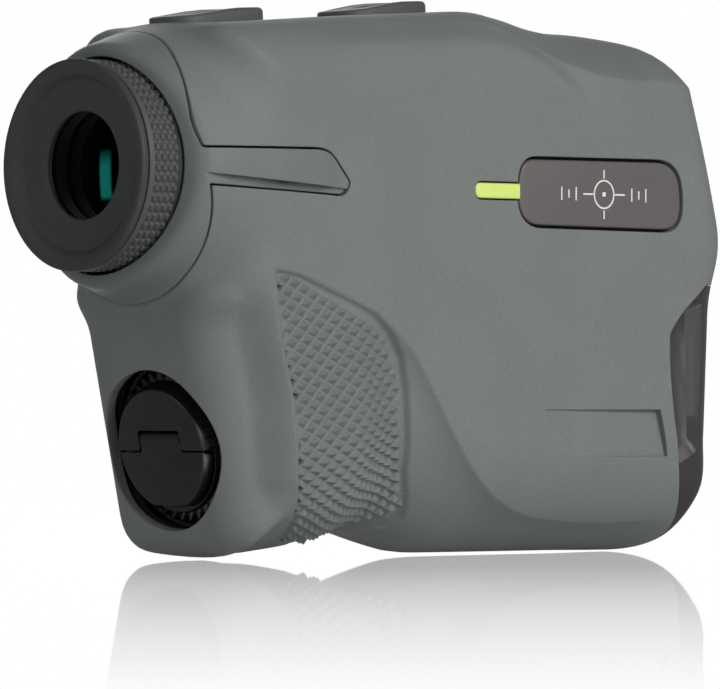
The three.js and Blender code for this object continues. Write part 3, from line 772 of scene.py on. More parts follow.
def lower_recess(side):
    """A wedge-shaped recess low on the front lobe, deepest at its top front corner."""
    widths = [HALF_WIDTH - 0.1 - depth - belly(np.array(x), np.array(z))
              for (x, z), depth in zip(LOWER_RECESS, LOWER_RECESS_DEPTH)]
    return wedge("recess", side, LOWER_RECESS, widths)


def tongue_step(side):
    """The lower rail of the collar's tongue lies a step below the rest."""
    return wedge("rail", side, TONGUE_RAIL, [HALF_WIDTH - depth for depth in TONGUE_RAIL_DEPTH])


def build_shells():
    """Armour, collar and bezel: three skins cut from one form."""
    solid = refined(form("solid", CELL, 0.0), 0.0)
    whole = copy_of(solid, "whole")
    hollow = form("hollow", 1.8 * CELL, WALL, 2)
    shell = boolean(solid, [hollow], "DIFFERENCE", FORM_ANGLE)
    dish = turned(
        "dish", [[0, -3], [15.05, -3], [15.05, 8.7], [14.3, 8.9], [14.3, 40], [0, 40]], EYE, 0.05
    )
    boolean(shell, [dish], "DIFFERENCE", 60)
    collar = copy_of(shell, "eyepiece_collar_skin")
    seam = eased(SEAM, 0.05, steps=4)
    boolean(collar, [slab("prism", seam, -THROUGH, THROUGH)], "INTERSECT", SKIN_ANGLE)
    boolean(collar, [tongue_step(side) for side in SIDE_WORD], "DIFFERENCE", SKIN_ANGLE)
    armour = copy_of(shell, "rubber_armour_skin")
    lower, face = eased(BEZEL_SIDE, 0.4, steps=4), eased(BEZEL_FACE, 0.4, steps=4)
    tools = [
        slab("seam", shrunk(seam, -SEAM_GAP), -THROUGH, THROUGH),
        slab("lower", shrunk(lower, -0.1), -THROUGH, THROUGH),
        slab("face", shrunk(face, -0.1), -BEZEL_FACE_HALF - 0.1, BEZEL_FACE_HALF + 0.1),
        turned("pocket", [[0, -6], [11.45, -6], [11.45, 12], [0, 12]], BATTERY, 0.01),
        button_tool("mode"), button_tool("power"),
    ]
    for side in SIDE_WORD:
        tools.append(pocket_tool(PLATE_OUTLINE, 1.75, 0.4, side))
        tools.append(pocket_tool(ACCENT_OUTLINE, 1.75, 0.22, side))
        tools.append(lower_recess(side))
    boolean(armour, tools, "DIFFERENCE", SKIN_ANGLE)
    bezel = copy_of(shell, "front_bezel_skin")
    keep = slab("keep", lower, -THROUGH, THROUGH)
    boolean(keep, [slab("face", face, -BEZEL_FACE_HALF, BEZEL_FACE_HALF)], "UNION")
    boolean(bezel, [keep], "INTERSECT", SKIN_ANGLE)
    plate = boolean(front_plate(), [whole], "INTERSECT", SKIN_ANGLE)
    boolean(bezel, [plate], "UNION", SKIN_ANGLE)
    boolean(bezel, [*front_cuts(), side_recess(RIGHT), side_recess(LEFT)], "DIFFERENCE", SKIN_ANGLE)
    bpy.data.objects.remove(shell)
    return armour, collar, bezel


def copy_of(obj, name):
    return placed(name, obj.data.copy())


# ------------------------------------------------------------- grip texture
CELL_ALONG = np.array([1.77, -0.77])
CELL_UP = np.array([1.16, 1.18])
CELL_STOPS = [-1.0, -0.86, 0.0, 0.86]
STUD_HEIGHT = 0.85
TURN_UNDER_MOST = 1.4  # radians that the texture runs round the belly


def surface_tree(obj):
    points = [v.co.copy() for v in obj.data.vertices]
    return BVHTree.FromPolygons(points, [list(p.vertices) for p in obj.data.polygons])


def cast(tree, origin, direction):
    start = Vector(in_row_frame([origin])[0])
    hit, _, _, _ = tree.ray_cast(start, Vector(direction))
    return None if hit is None else np.array(from_row(hit))


def stud(u, v):
    """Height of one blunt pyramid over its cell, whose corners are at plus and minus one."""
    rise = (CELL_STOPS[-1] - np.maximum(np.abs(u), np.abs(v))) / CELL_STOPS[-1]
    return np.clip(rise, 0, 0.92)


def grip_place(tree, side, x, t):
    """The armour's surface at x and belly height t, and the outward direction there."""
    centre_z = table(BOTTOM_LINE, x) + BELLY_R
    turn = min(max((centre_z - t) / BELLY_R, 0), TURN_UNDER_MOST)
    outward = np.array([0, side * math.cos(turn), -math.sin(turn)])
    middle = max(t, centre_z)
    centre = np.array([x, side * (HALF_WIDTH - 0.9 - BELLY_R), middle])
    return cast(tree, centre + 40 * outward, -outward), outward


def grip_lattice():
    """Side-view places of the studs' corners, with each corner's place in its cell."""
    stops = len(CELL_STOPS)
    origin = np.array([14.0, 2.0])
    basis = np.stack([CELL_ALONG, CELL_UP], 1) / 2
    gi, gj = np.meshgrid(np.arange(36 * stops), np.arange(40 * stops), indexing="ij")
    u, v = np.array(CELL_STOPS)[gi % stops], np.array(CELL_STOPS)[gj % stops]
    a, b = 2 * (gi // stops - 16) + u, 2 * (gj // stops - 8) + v
    return origin[0] + basis[0, 0] * a + basis[0, 1] * b, origin[1] + basis[1, 0] * a + basis[1, 1] * b, u, v


def grip_texture(armour, side):
    """Studs over the sunk grip patch. They sink under the armour at its border."""
    tree = surface_tree(armour)
    sx, st, u, v = grip_lattice()
    depth = -outline_depth(GRIP_OUTLINE, sx, st) - 0.8 * step(26, 34, sx)
    height = STUD_HEIGHT * stud(u, v) * step(0.0, 0.7, depth) + 0.04 - 0.9 * step(0.45, -0.1, depth)
    index, top, low = {}, [], []
    for i, j in np.argwhere(depth > -0.35):
        hit, outward = grip_place(tree, side, sx[i, j], st[i, j])
        if hit is None:
            continue
        index[(i, j)] = len(top)
        top.append(hit + outward * height[i, j])
        low.append(hit - outward * 1.1)
    faces, count = [], len(top)
    for i, j in index:
        cell = [(i, j), (i + 1, j), (i + 1, j + 1), (i, j + 1)]
        if all(c in index for c in cell):
            ids = [index[c] for c in cell]
            faces += ridge_split(ids, i, j)
            faces.append([n + count for n in reversed(ids)])
    faces += rim_faces(faces, count)
    made = make("grip", top + low, faces, 12)
    with edited(made) as work:
        loose = [v for v in work.verts if not v.link_faces]
        bmesh.ops.delete(work, geom=loose, context="VERTS")
    return made


def ridge_split(ids, i, j):
    """Two triangles that meet along the line from a stud's foot to its peak."""
    p, q, r, t = ids
    if ((i % 4 == 2) + (i % 4 == 1)) and ((j % 4 == 2) + (j % 4 == 1)) and (i % 4 == 2) != (j % 4 == 2):
        return [[p, q, t], [q, r, t]]
    return [[p, q, r], [p, r, t]]


def rim_faces(faces, count):
    """Closes the border between the upper sheet and its copy below."""
    once = {}
    for ids in faces:
        if ids[0] >= count:
            continue
        for a, b in zip(ids, ids[1:] + ids[:1]):
            key = (min(a, b), max(a, b))
            once[key] = None if key in once else (a, b)
    return [[b, a, a + count, b + count] for pair in once.values() if pair for a, b in [pair]]


# ---------------------------------------------------------------- eyepiece
RING_R = 14.6
KNURL_ROUND = 64
KNURL_X0, KNURL_PITCH, KNURL_ROWS = 2.5, 1.11, 4
KNURL_DEPTH = 0.42


def knob(phase):
    """One rounded knob over a pitch: 0 in the groove and 1 on top."""
    return step(0.0, 0.3, 0.5 - abs(phase - 0.5))


def dioptre_ring():
    per = 6
    angles = np.arange(KNURL_ROUND * per) * 2 * math.pi / (KNURL_ROUND * per)
    round_knob = np.array([float(knob((k % per + 0.5) / per)) for k in range(len(angles))])
    sections = [(12.9, 1.7, 0), (12.9, 1.5, 0), (13.9, 1.45, 0), (14.35, 1.55, 0), (14.5, 1.75, 0),
                (14.5, 2.4, 0)]
    for row in range(KNURL_ROWS):
        for k in range(per):
            phase = (k + 0.5) / per
            sections.append((RING_R, KNURL_X0 + (row + phase) * KNURL_PITCH, float(knob(phase))))
    end = KNURL_X0 + KNURL_ROWS * KNURL_PITCH
    sections += [(14.5, end + 0.06, 0), (14.5, end + 0.55, 0), (14.3, end + 0.62, 0), (14.3, end + 0.7, 0),
                 (14.45, end + 0.76, 0), (14.45, end + 1.1, 0), (14.2, end + 1.25, 0), (13.9, 8.7,
                     0), (12.9, 8.7, 0)]
    rings = []
    for r, x, share in sections:
        radius = np.full(len(angles), r)
        if r == RING_R:
            radius = radius - KNURL_DEPTH * (1 - share * round_knob)
        rings.append(EYE.place(ring_at(angles, radius, x)))
    return rings_mesh("dioptre_ring", rings, smooth_angle=40)


def ribbed(r_base, r_rib, x0, x1, pitch):
    """Points of a bore with fine light-stopping ribs, back to front."""
    points = []
    count = int(round((x1 - x0) / pitch))
    for k in range(count):
        x = x0 + k * (x1 - x0) / count
        points += [[r_rib, x + 0.08 * pitch, 0], [r_base, x + 0.55 * pitch, 0]]
    return points[::-1]


# ------------------------------------------------------------- battery cap
FLAP_PIN = (1.4, 1.3)
FLAP_KNUCKLE_R = 1.4
FLAP_TAB_HALF = 4.05
TEETH = 36


def toothed_cap():
    per = 10
    angles = np.arange(TEETH * per) * 2 * math.pi / (TEETH * per)
    wave = np.array([float(step(0.08, 0.42, 0.5 - abs((k % per) / per - 0.5))) for k in range(len(angles))])
    sections = [
        (0.0, 0.0, 0), (8.35, 0.0, 0), (8.5, 0.04, 0), (8.62, 0.16, 0), (8.7, 0.4, 0), (9.35, 2.5, 0),
        (9.5, 2.62, 0.2), (10.3, 2.7, 0.75), (10.62, 2.8, 1), (10.8, 3.05, 1), (10.8, 4.25, 1),
        (10.6, 4.4, 0.8), (8.6, 4.6, 0), (8.6, 6.7, 0), (8.0, 6.7, 0), (8.0, 8.1, 0), (8.6, 8.1, 0),
        (8.6, 8.75, 0), (8.4, 8.9, 0), (0.0, 8.9, 0),
    ]
    rings = []
    for r, x, share in sections:
        radius = r - 0.8 * share * (1 - wave)
        depth = x - 0.25 * share * wave * (x < 3.2)
        rings.append(BATTERY.place(ring_at(angles, radius, depth)))
    return rings_mesh("battery_cap_body", rings, smooth_angle=CAP_ANGLE)


def plate_x(name, outline, x0, x1, line, bevel=0.0, flare=0.0):
    """An outline in y and z carried along x, its near edge bevelled."""
    base = np.array(outline, float)
    levels = [(-flare, x1), (0.0 if not bevel else -flare * bevel / (x1 - x0), x0 + bevel)]
    for k in range(1, 4 if bevel else 1):
        turn = math.pi / 2 * k / 3
        levels.append((bevel * (1 - math.cos(turn)), x0 + bevel * (1 - math.sin(turn))))
    rings = []
    for inset, x in levels:
        p = shrunk(base, inset)
        rings.append(line.place(np.stack([np.full(len(p), x), p[:, 0], p[:, 1]], 1)))
    return rings_mesh(name, rings, closed_rings=False, smooth_angle=CAP_ANGLE)


def flap_outline(radius, half_tab, top, split, ease, notch=False):
    start, end = math.asin(split / radius), math.pi - math.asin(split / radius)
    points = [[half_tab, split, ease], [half_tab, top, ease], [-half_tab, top, ease],
              [-half_tab, split, ease]]
    for k in range(49):
        a = end + (2 * math.pi + start - end) * k / 48
        y, z = radius * math.cos(a), radius * math.sin(a)
        if notch and abs(y) < 4.2:
            z = max(z, -7.9 + 0.25 * (y / 4.2) ** 2)
        points.append([y, z, 0])
    return eased(points, 0, steps=4)


def battery_cap_parts():
    cap = toothed_cap()
    tab_top = FLAP_PIN[1] + FLAP_KNUCKLE_R
    recess = plate_x("recess", flap_outline(10.1, FLAP_TAB_HALF + 0.22, tab_top + 0.12, 0.0, 0.5), -1, 1.8,
                     BATTERY)
    knuckle = rod("knuckle", FLAP_KNUCKLE_R + 0.3, -FLAP_TAB_HALF - 0.22, FLAP_TAB_HALF + 0.22, *FLAP_PIN,
                  line=BATTERY)
    pin_bore = rod("bore", 0.62, -6, 6, *FLAP_PIN, line=BATTERY)
    boolean(cap, [recess, knuckle, pin_bore], "DIFFERENCE", CAP_ANGLE)
    flap = plate_x(
        "cap_flap_plate", flap_outline(8.5, FLAP_TAB_HALF, FLAP_PIN[1], -0.28, 0.35,
                                       True), 0.0, 1.5, BATTERY, 0.16, 0.4
    )
    relief = [rod("relief", 2.0, FLAP_TAB_HALF + 0.02, 10, *FLAP_PIN, line=BATTERY),
              rod("relief", 2.0, -10, -FLAP_TAB_HALF - 0.02, *FLAP_PIN, line=BATTERY)]
    boolean(flap, relief, "DIFFERENCE", CAP_ANGLE)
    boolean(flap, [rod("knuckle", FLAP_KNUCKLE_R, -FLAP_TAB_HALF + 0.03, FLAP_TAB_HALF - 0.03, *FLAP_PIN,
                       line=BATTERY)],
            "UNION", CAP_ANGLE)
    boolean(flap, [rod("bore", 0.6, -6, 6, *FLAP_PIN, line=BATTERY)], "DIFFERENCE", CAP_ANGLE)
    pin = rings_mesh(
        "cap_flap_pin_turned",
        [BATTERY.place(np.stack([FLAP_PIN[0] + r * np.cos(a), np.full(24, y), FLAP_PIN[1] + r * np.sin(a)],
                                1))
         for r, y in ((0.3, -5.6), (0.5, -5.4), (0.5, 5.4),
                      (0.3, 5.6)) for a in [np.arange(24) * math.pi / 12]],
        closed_rings=False,
    )
    return cap, flap, pin


# ------------------------------------------------------------- turned pieces
def bulge(radius, x_edge, rise, count=14):
    """A convex lens face, from the middle out to its edge."""
    return [[radius * t, x_edge + rise * (1 - t * t), 0] for t in np.linspace(0, 1, count)]


EYE_DOME = [[9.2 * t, 9.7 + 1.4 * t * t, 0] for t in np.linspace(0, 1, 14)]
O_RING = [[8.45 + 0.38 * math.cos(a), 7.4 + 0.38 * math.sin(a), 0] for a in np.arange(16) * math.pi / 8]

# CAD node, ending of the piece's name, body, finish, line, rounding, section of radius and x.
TURNED = [
    ("eyecup", "rubber", "eyecup", "eyecup", EYE, 0.2, [
        [13.7, 0.0, 0.5], [14.65, 0.0, 0.75], [14.6, 1.15, 0.2], [13.4, 1.25, 0.2], [12.6, 1.5, 0.2],
        [12.6, 3.4, 0.2], [8.1, 3.4, 0.1], [7.75, 3.1, 0.1], [7.95, 2.8, 0.1], [7.45, 2.5, 0.1],
        [7.4, 1.95, 0.3], [8.4, 1.75, 0.5], [11.8, 1.45, 0.35], [12.45, 0.5, 0.5]]),
    ("eyecup_sleeve", "tube", "eyecup_slider", "optic_metal", EYE, 0.08, [
        [12.35, 3.8], [12.35, 5.6, 0.1], [12.1, 5.75, 0.05], [12.1, 6.25, 0.05], [12.35, 6.4, 0.1],
        [12.35, 12.5], [11.2, 12.5], [11.2, 6.0], [8.7, 5.95], *ribbed(8.3, 7.75, 3.8, 5.9, 0.42)]),
    ("ocular_retaining_ring", "turned", "ocular", "optic_metal", EYE, 0.1, [
        [9.2, 7.25], [9.2, 8.4], [7.9, 8.4, 0.1], *ribbed(8.55, 7.9, 7.3, 8.3, 0.33), [8.7, 7.2, 0.1]]),
    ("ocular_barrel", "turned", "ocular", "optic_metal", EYE, 0.15, [
        [10.6, 7.2], [10.6, 12.5, 0.1], [10.3, 12.7, 0.1], [10.3, 14.0, 0.1], [10.6, 14.2, 0.1],
        [10.6, 21], [9.5, 21], [9.5, 7.2]]),
    ("eye_lens", "ground", "ocular", "glass", EYE, 0.1, [*EYE_DOME, [9.2, 11.9, 0.1], [0, 11.9, 0]]),
    ("battery_tube", "moulded", "body", "housing", BATTERY, 0.12, [
        [0, 39.2, 0], [8.2, 39.2], [8.2, 9.4], [8.9, 9.4], [8.9, 5.1], [11.4, 5.1], [11.4, 3.95],
        [11.9, 3.95], [11.9, 6.4], [9.9, 6.4], [9.9, 40.2], [0, 40.2, 0]]),
    ("battery", "cell", "battery", "cell_label", BATTERY, 0.2, [
        [0, 9.9, 0], [7.0, 9.9, 0.2], [7.2, 10.15, 0.1], [7.8, 10.2, 0.3], [7.8, 35.9, 0.5],
        [6.6, 36.15, 0.2], [3.2, 36.15, 0.1], [3.1, 36.9, 0.2], [0, 36.9, 0]]),
    ("cap_contact", "disc", "battery_cap", "steel", BATTERY, 0.1, [
        [0, 9.3, 0], [2.0, 9.3, 0.3], [2.6, 9.5, 0.3], [6.0, 9.5, 0.1], [6.0, 9.1, 0.1], [0, 9.0, 0]]),
    ("cap_o_ring", "moulded", "cap_seal", "seal", BATTERY, 0, O_RING),
    ("objective_cell", "turned", "body", "optic_metal", EYE, 0.12, [
        [13, 82], [13, 101.4], [12.3, 101.4], *ribbed(12.3, 12.05, 98.9, 99.9, 0.33),
        [12.35, 98.6], [12.35, 82]]),
    ("objective_retaining_ring", "turned", "body", "optic_metal", EYE, 0.1, [
        [12.0, 100.0], [12.0, 101.2], [11.4, 101.2, 0.2], [10.9, 100.5, 0.2], [10.9, 100.0]]),
    ("receiver_cell", "turned", "body", "optic_metal", RECEIVER, 0.12, [
        [13, 88], [13, 104.8], [12.3, 104.8], *ribbed(12.3, 12.05, 102.0, 103.4, 0.35),
        [12.35, 101.8], [12.35, 88]]),
    ("receiver_retaining_ring", "turned", "body", "optic_metal", RECEIVER, 0.1, [
        [12.0, 103.6], [12.0, 104.7], [11.4, 104.7, 0.2], [10.9, 104.1, 0.2], [10.9, 103.6]]),
    ("objective_front_lens", "ground", "body", "glass", EYE, 0.1, [
        *bulge(12.0, 98.2, 1.3), [12.0, 95.2, 0.1], [0, 95.0, 0]]),
    ("receiver_lens", "ground", "body", "filter_glass", RECEIVER, 0.1, [
        *bulge(12.0, 101.6, 1.5), [12.0, 98.6, 0.1], [0, 98.5, 0]]),
]


# --------------------------------------------------------------- side plates
MARK = (84.0, 51.4)
PLATE_FACE = HALF_WIDTH - 0.16
ACCENT_FACE = HALF_WIDTH - 0.14


def side_plate(side):
    outer = side * PLATE_FACE
    return slab(SIDE_WORD[side] + "_side_plate_inlay", shrunk(PLATE_OUTLINE, 0.05), outer - side * 1.35,
                outer,
                bevel=0.35, steps=3, smooth_angle=50)


def reticle(side):
    """A generic sighting mark and distance ticks, standing just proud of the plate."""
    face = side * PLATE_FACE
    back, front = face - side * 0.25, face + side * 0.05
    cx, cz = MARK
    radius, width = 2.1, 0.24
    angles = np.arange(64) * math.pi / 32
    rings = []
    for r, y in ((radius - width, back), (radius - width, front), (radius, front), (radius, back)):
        rings.append(np.stack([cx + r * np.cos(angles), np.full(64, y), cz + r * np.sin(angles)], 1))
    parts = [rings_mesh("ring", rings)]
    bars = [(cx - 3.2, cz, 1.0, 0.12), (cx + 3.2, cz, 1.0, 0.12), (cx, cz + 2.9, 0.12, 0.6),
            (cx, cz - 2.9, 0.12, 0.6),
            (cx, cz, 0.3, 0.3)]
    for k in range(1, 4):
        for way in (-1, 1):
            bars.append((cx + way * (4.2 + 1.45 * k), cz, 0.12, 0.95 if k % 2 else 0.6))
    for x, z, hx, hz in bars:
        corners = [[x - hx, z - hz], [x + hx, z - hz], [x + hx, z + hz], [x - hx, z + hz]]
        parts.append(slab("bar", corners, back, front))
    return joined(SIDE_WORD[side] + "_side_plate_mark", parts)


def accent_bar(side):
    outer = side * ACCENT_FACE
    return slab(SIDE_WORD[side] + "_accent_bar_inlay", ACCENT_OUTLINE, outer - side * 1.3, outer,
                bevel=0.3, steps=3, smooth_angle=50)


# ---------------------------------------------------------------- materials
def link(tree, a, b):
    tree.links.new(a, b)


def fresh(tree, kind, **settings):
    """A new shader node with its settings, such as its operation."""
    made = tree.nodes.new("ShaderNode" + kind)
    for name, value in settings.items():
        setattr(made, name, value)
    return made


def principled(material):
    return next(n for n in material.node_tree.nodes if n.type == "BSDF_PRINCIPLED")


def noise(tree, coords, size_mm, detail=2.0, rough=0.5):
    node = fresh(tree, "TexNoise")
    node.inputs["Scale"].default_value = 1.0 / (size_mm * MM)
    node.inputs["Detail"].default_value = detail
    node.inputs["Roughness"].default_value = rough
    link(tree, coords, node.inputs["Vector"])
    return node.outputs["Fac"]


def remap(tree, value, lo, hi, from_lo=0.3, from_hi=0.7):
    node = fresh(tree, "MapRange")
    node.inputs["From Min"].default_value = from_lo
    node.inputs["From Max"].default_value = from_hi
    node.inputs["To Min"].default_value = lo
    node.inputs["To Max"].default_value = hi
    link(tree, value, node.inputs["Value"])
    return node.outputs["Result"]


def mixed(tree, factor, a, b, kind="MIX"):
    node = fresh(tree, "Mix", data_type="RGBA", blend_type=kind)
    for socket, value in ((node.inputs["Factor"], factor), (node.inputs[6], a), (node.inputs[7], b)):
        if hasattr(value, "is_output"):
            link(tree, value, socket)
        elif isinstance(value, (int, float)):
            socket.default_value = value
        else:
            socket.default_value = (*value, 1.0)
    return node.outputs[2]


def linear(rgb):
    shares = (v / 255 for v in rgb)
    return tuple(c / 12.92 if c <= 0.04045 else ((c + 0.055) / 1.055) ** 2.4 for c in shares)


def finish(name, rgb, rough=(0.5, 0.6), grain=0.3, relief=0.012, patchy=0.06, metal=0.0, coat=0.0, edge_pale=0.0,
           specular=0.5, soften=0.12, speckle=0.06, ior=1.5, tint=None):
    """A procedural finish: grain, uneven tone and gloss, softened edges, and colour made paler where edges are
    sharp and convex.
    """
    made = bpy.data.materials.new(name)
    made.use_nodes = True
    tree = made.node_tree
    shader = principled(made)
    place = fresh(tree, "TexCoord").outputs["Object"]
    base = linear(rgb)
    broad = noise(tree, place, 14.0, 3.0)
    fine = noise(tree, place, grain, 3.0, 0.6)
    dark = tuple(c * (1 - patchy) for c in base)
    light = tuple(min(1.0, c * (1 + patchy)) for c in base)
    tone = mixed(tree, remap(tree, broad, 0, 1), dark, light)
    speck = mixed(tree, remap(tree, fine, 0, 1, 0.35, 0.65), tuple([1 - speckle] * 3),
                  tuple([1 + speckle] * 3))
    tone = mixed(tree, 1.0, tone, speck, "MULTIPLY")
    # Colour made paler where Pointiness finds sharp convex edges.
    if edge_pale:
        sharp = fresh(tree, "NewGeometry").outputs["Pointiness"]
        edge_pale_mask = remap(tree, sharp, 0, edge_pale, 0.515, 0.56)
        pale = tuple(min(1.0, c * 1.7 + 0.02) for c in base)
        tone = mixed(tree, edge_pale_mask, tone, pale)
    link(tree, tone, shader.inputs["Base Color"])
    link(tree, remap(tree, fine, rough[0], rough[1], 0.3, 0.7), shader.inputs["Roughness"])
    shader.inputs["Metallic"].default_value = metal
    shader.inputs["Coat Weight"].default_value = coat
    shader.inputs["Coat Roughness"].default_value = 0.15
    shader.inputs["Specular IOR Level"].default_value = specular
    shader.inputs["IOR"].default_value = ior
    if tint:
        shader.inputs["Specular Tint"].default_value = (*tint, 1.0)
    bump = fresh(tree, "Bump")
    bump.inputs["Distance"].default_value = relief * MM
    bump.inputs["Strength"].default_value = 1.0
    link(tree, fine, bump.inputs["Height"])
    if soften:
        bevel = fresh(tree, "Bevel", samples=4)
        bevel.inputs["Radius"].default_value = soften * MM
        link(tree, bevel.outputs["Normal"], bump.inputs["Normal"])
    link(tree, bump.outputs["Normal"], shader.inputs["Normal"])
    return made


def glass(name, rgb, tint, ior=1.9):
    """Dark coated glass: what is seen of it is the coloured reflection."""
    return finish(name, rgb, rough=(0.015, 0.03), grain=3.0, relief=0.0006, patchy=0.1, specular=0.8,
                  soften=0,
                  speckle=0.02, ior=ior, tint=tint)


FINISHES = {
    "armour": finish("armour_rubber", (117, 122, 118), (0.6, 0.72), 0.32, 0.02, 0.035, speckle=0.07,
                     soften=0.28, specular=0.35),
    "collar": finish("collar_plastic", (110, 116, 112), (0.5, 0.62), 0.3, 0.01, 0.03, speckle=0.03,
                     soften=0.25, specular=0.4),
    "housing": finish("housing_plastic", (42, 44, 44), (0.5, 0.62), 0.4, 0.012, 0.05),
    "bezel": finish("bezel_plastic", (56, 53, 52), (0.36, 0.5), 0.3, 0.014, 0.06, soften=0.25, speckle=0.16),
    "plate": finish("plate_plastic", (98, 94, 93), (0.4, 0.52), 0.3, 0.006, 0.03, soften=0.15, speckle=0.03),
    "accent": finish("accent_lime", (222, 240, 128), (0.3, 0.4), 0.5, 0.003, 0.03, coat=0.3, speckle=0.02,
                     soften=0.12),
    "eyecup": finish("eyecup_rubber", (58, 60, 59), (0.55, 0.68), 0.28, 0.014, 0.06, soften=0.2,
                     specular=0.4),
    "ring": finish("ring_rubber", (74, 76, 75), (0.5, 0.62), 0.25, 0.01, 0.05, soften=0.08, specular=0.45),
    "button": finish("button_rubber", (84, 86, 86), (0.5, 0.62), 0.28, 0.012, 0.04, soften=0.2, specular=0.4),
    "cap": finish("cap_plastic", (15, 16, 17), (0.3, 0.44), 0.35, 0.008, 0.08, soften=0.14, specular=0.5,
                  speckle=0.08),
    "optic_metal": finish("optic_black", (24, 25, 26), (0.42, 0.55), 0.4, 0.006, 0.08, metal=0.3,
                          soften=0.05),
    "glass": glass("coated_glass", (4, 14, 12), (0.15, 1.0, 0.75)),
    "filter_glass": glass("receiver_glass", (16, 6, 10), (0.9, 0.35, 0.6)),
    "board": finish("board_green", (26, 74, 46), (0.35, 0.5), 0.5, 0.01, 0.1, coat=0.2),
    "chip": finish("chip_black", (34, 34, 36), (0.45, 0.6), 0.2, 0.006, 0.06),
    "steel": finish("spring_steel", (176, 178, 180), (0.22, 0.36), 0.4, 0.004, 0.05, metal=1.0, edge_pale=0.3),
    "seal": finish("seal_rubber", (26, 26, 27), (0.55, 0.7), 0.3, 0.01, 0.06),
    "cell_label": finish("cell_wrap", (52, 72, 96), (0.3, 0.4), 0.6, 0.003, 0.05, coat=0.3),
}


def painted_lens_reflection(material):
    """Painted reflection: a teal emission patch, fixed in one corner of the eye lens, stands in for the green
    reflection seen there.
    """
    tree = material.node_tree
    shader = principled(material)
    place = fresh(tree, "TexCoord")
    split = fresh(tree, "SeparateXYZ")
    link(tree, place.outputs["Object"], split.inputs[0])
    across = remap(tree, split.outputs["Y"], 1, 0, 5.6 * MM, 6.2 * MM)
    inner = remap(tree, split.outputs["Y"], 0, 1, 2.9 * MM, 3.6 * MM)
    up = remap(tree, split.outputs["Z"], 1, 0, (AXIS_Z + 0.2) * MM, (AXIS_Z + 2.6) * MM)
    low = remap(tree, split.outputs["Z"], 0, 1, (AXIS_Z - 4.6) * MM, (AXIS_Z - 3.9) * MM)
    total = across
    for part in (inner, up, low):
        node = fresh(tree, "Math", operation="MULTIPLY")
        link(tree, total, node.inputs[0])
        link(tree, part, node.inputs[1])
        total = node.outputs[0]
    # Painted reflection: inside the patch the lens glows teal by emission, though it is no lamp.
    shader.inputs["Emission Color"].default_value = (0.004, 0.1, 0.078, 1)
    link(tree, total, shader.inputs["Emission Strength"])
    return material


# The eye lens's glass, carrying the painted reflection patch.
EYE_GLASS = painted_lens_reflection(glass("eye_glass", (3, 8, 8), (0.3, 1.0, 0.85)))
MARK_FINISH = finish("mark_ink", (232, 232, 230), (0.4, 0.5), 0.3, 0.003, 0.02, soften=0)


def dress(piece, body, slot, *nodes, material=None):
    """Puts a finish on a piece, rides it on its body and hides the CAD parts it stands for."""
    piece.data.materials.clear()
    piece.data.materials.append(material or FINISHES[slot])
    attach(piece, body)
    if nodes:
        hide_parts(*nodes)
    return piece


# ----------------------------------------------------------------- assembly
def build_body():
    armour, collar, bezel = build_shells()
    parts = [armour, *(grip_texture(armour, side) for side in SIDE_WORD)]
    armour = joined("rubber_armour_moulded", parts)
    dress(armour, "body", "armour", "rubber_armour")
    dress(collar, "body", "collar", "eyepiece_collar")
    dress(bezel, "body", "bezel", "front_bezel")
    for side, word in SIDE_WORD.items():
        dress(side_plate(side), "body", "plate", word + "_side_plate")
        dress(reticle(side), "body", "plate", material=MARK_FINISH)
        dress(accent_bar(side), "body", "accent", word + "_accent_bar")


def build_housings():
    outer = form("housing", 1.8 * CELL, WALL + HOUSING_GAP + 0.3, 2)
    inner = form("cavity", 2 * CELL, WALL + HOUSING_GAP + HOUSING_WALL, 2)
    boolean(outer, [inner], "DIFFERENCE", FORM_ANGLE)
    tools = [
        turned("eye", [[0, -5], [15.4, -5], [15.4, 24], [0, 24]], EYE, 0.01),
        turned("cell", [[0, 78], [13.4, 78], [13.4, 125], [0, 125]], EYE, 0.01),
        turned("receiver", [[0, 84], [13.4, 84], [13.4, 125], [0, 125]], RECEIVER, 0.01),
        turned("tube", [[0, -8], [12.2, -8], [12.2, 14], [0, 14]], BATTERY, 0.01),
        slab("nose", [[99.0, -5], [125, -5], [125, 72], [99.0, 72]], -THROUGH, THROUGH),
        button_tool("mode"), button_tool("power"),
    ]
    boolean(outer, tools, "DIFFERENCE", FORM_ANGLE)
    for side, word in SIDE_WORD.items():
        half = copy_of(outer, word + "_housing_moulded")
        near = slab("near", [[-5, -5], [125, -5], [125, 90], [-5, 90]], side * 0.15, side * 30)
        boolean(half, [near], "INTERSECT", FORM_ANGLE)
        dress(half, "body", "housing", word + "_housing")
    bpy.data.objects.remove(outer)


SCREW_PLACES = {1: (80, 70.2), 2: (26.5, 4.4), 3: (84, 6.0), 4: (40, 38.5)}


def screw(number):
    """A small cap screw, entered from the right, with a six-sided socket."""
    x, z = SCREW_PLACES[number]
    wide = float(half_width(np.array(x, float), np.array(z, float)))
    head = -(wide - WALL - 3.6 - (2.4 if z < 8 else 0))
    profile = [(0.01, head), (1.5, head), (1.7, head + 0.2), (1.7, head + 1.3), (0.85, head + 1.5)]
    profile += [(r, head + 1.8 + 0.25 * k) for k in range(30) for r in ((0.9, 0.7)[k % 2],)] + [(0.3,
        head + 9.6), (0.01, head + 9.7)]
    angles = np.arange(24) * math.pi / 12
    rings = [np.stack([x + r * np.cos(angles), np.full(24, y), z + r * np.sin(angles)], 1) for r,
             y in profile]
    made = rings_mesh("housing_screw_%d_turned" % number, rings, closed_rings=False, smooth_angle=30)
    socket = rod("socket", 0.85, head - 1, head + 0.9, x, z, segments=6)
    return boolean(made, [socket], "DIFFERENCE", 30)


def build_turned():
    for node, ending, body, slot, line, rounding, section in TURNED:
        finer = {"segments": 160, "smooth_angle": 50} if node == "eyecup" else {}
        piece = turned(node + "_" + ending, section, line, rounding, **finer)
        dress(piece, body, slot, node, material=EYE_GLASS if node == "eye_lens" else None)


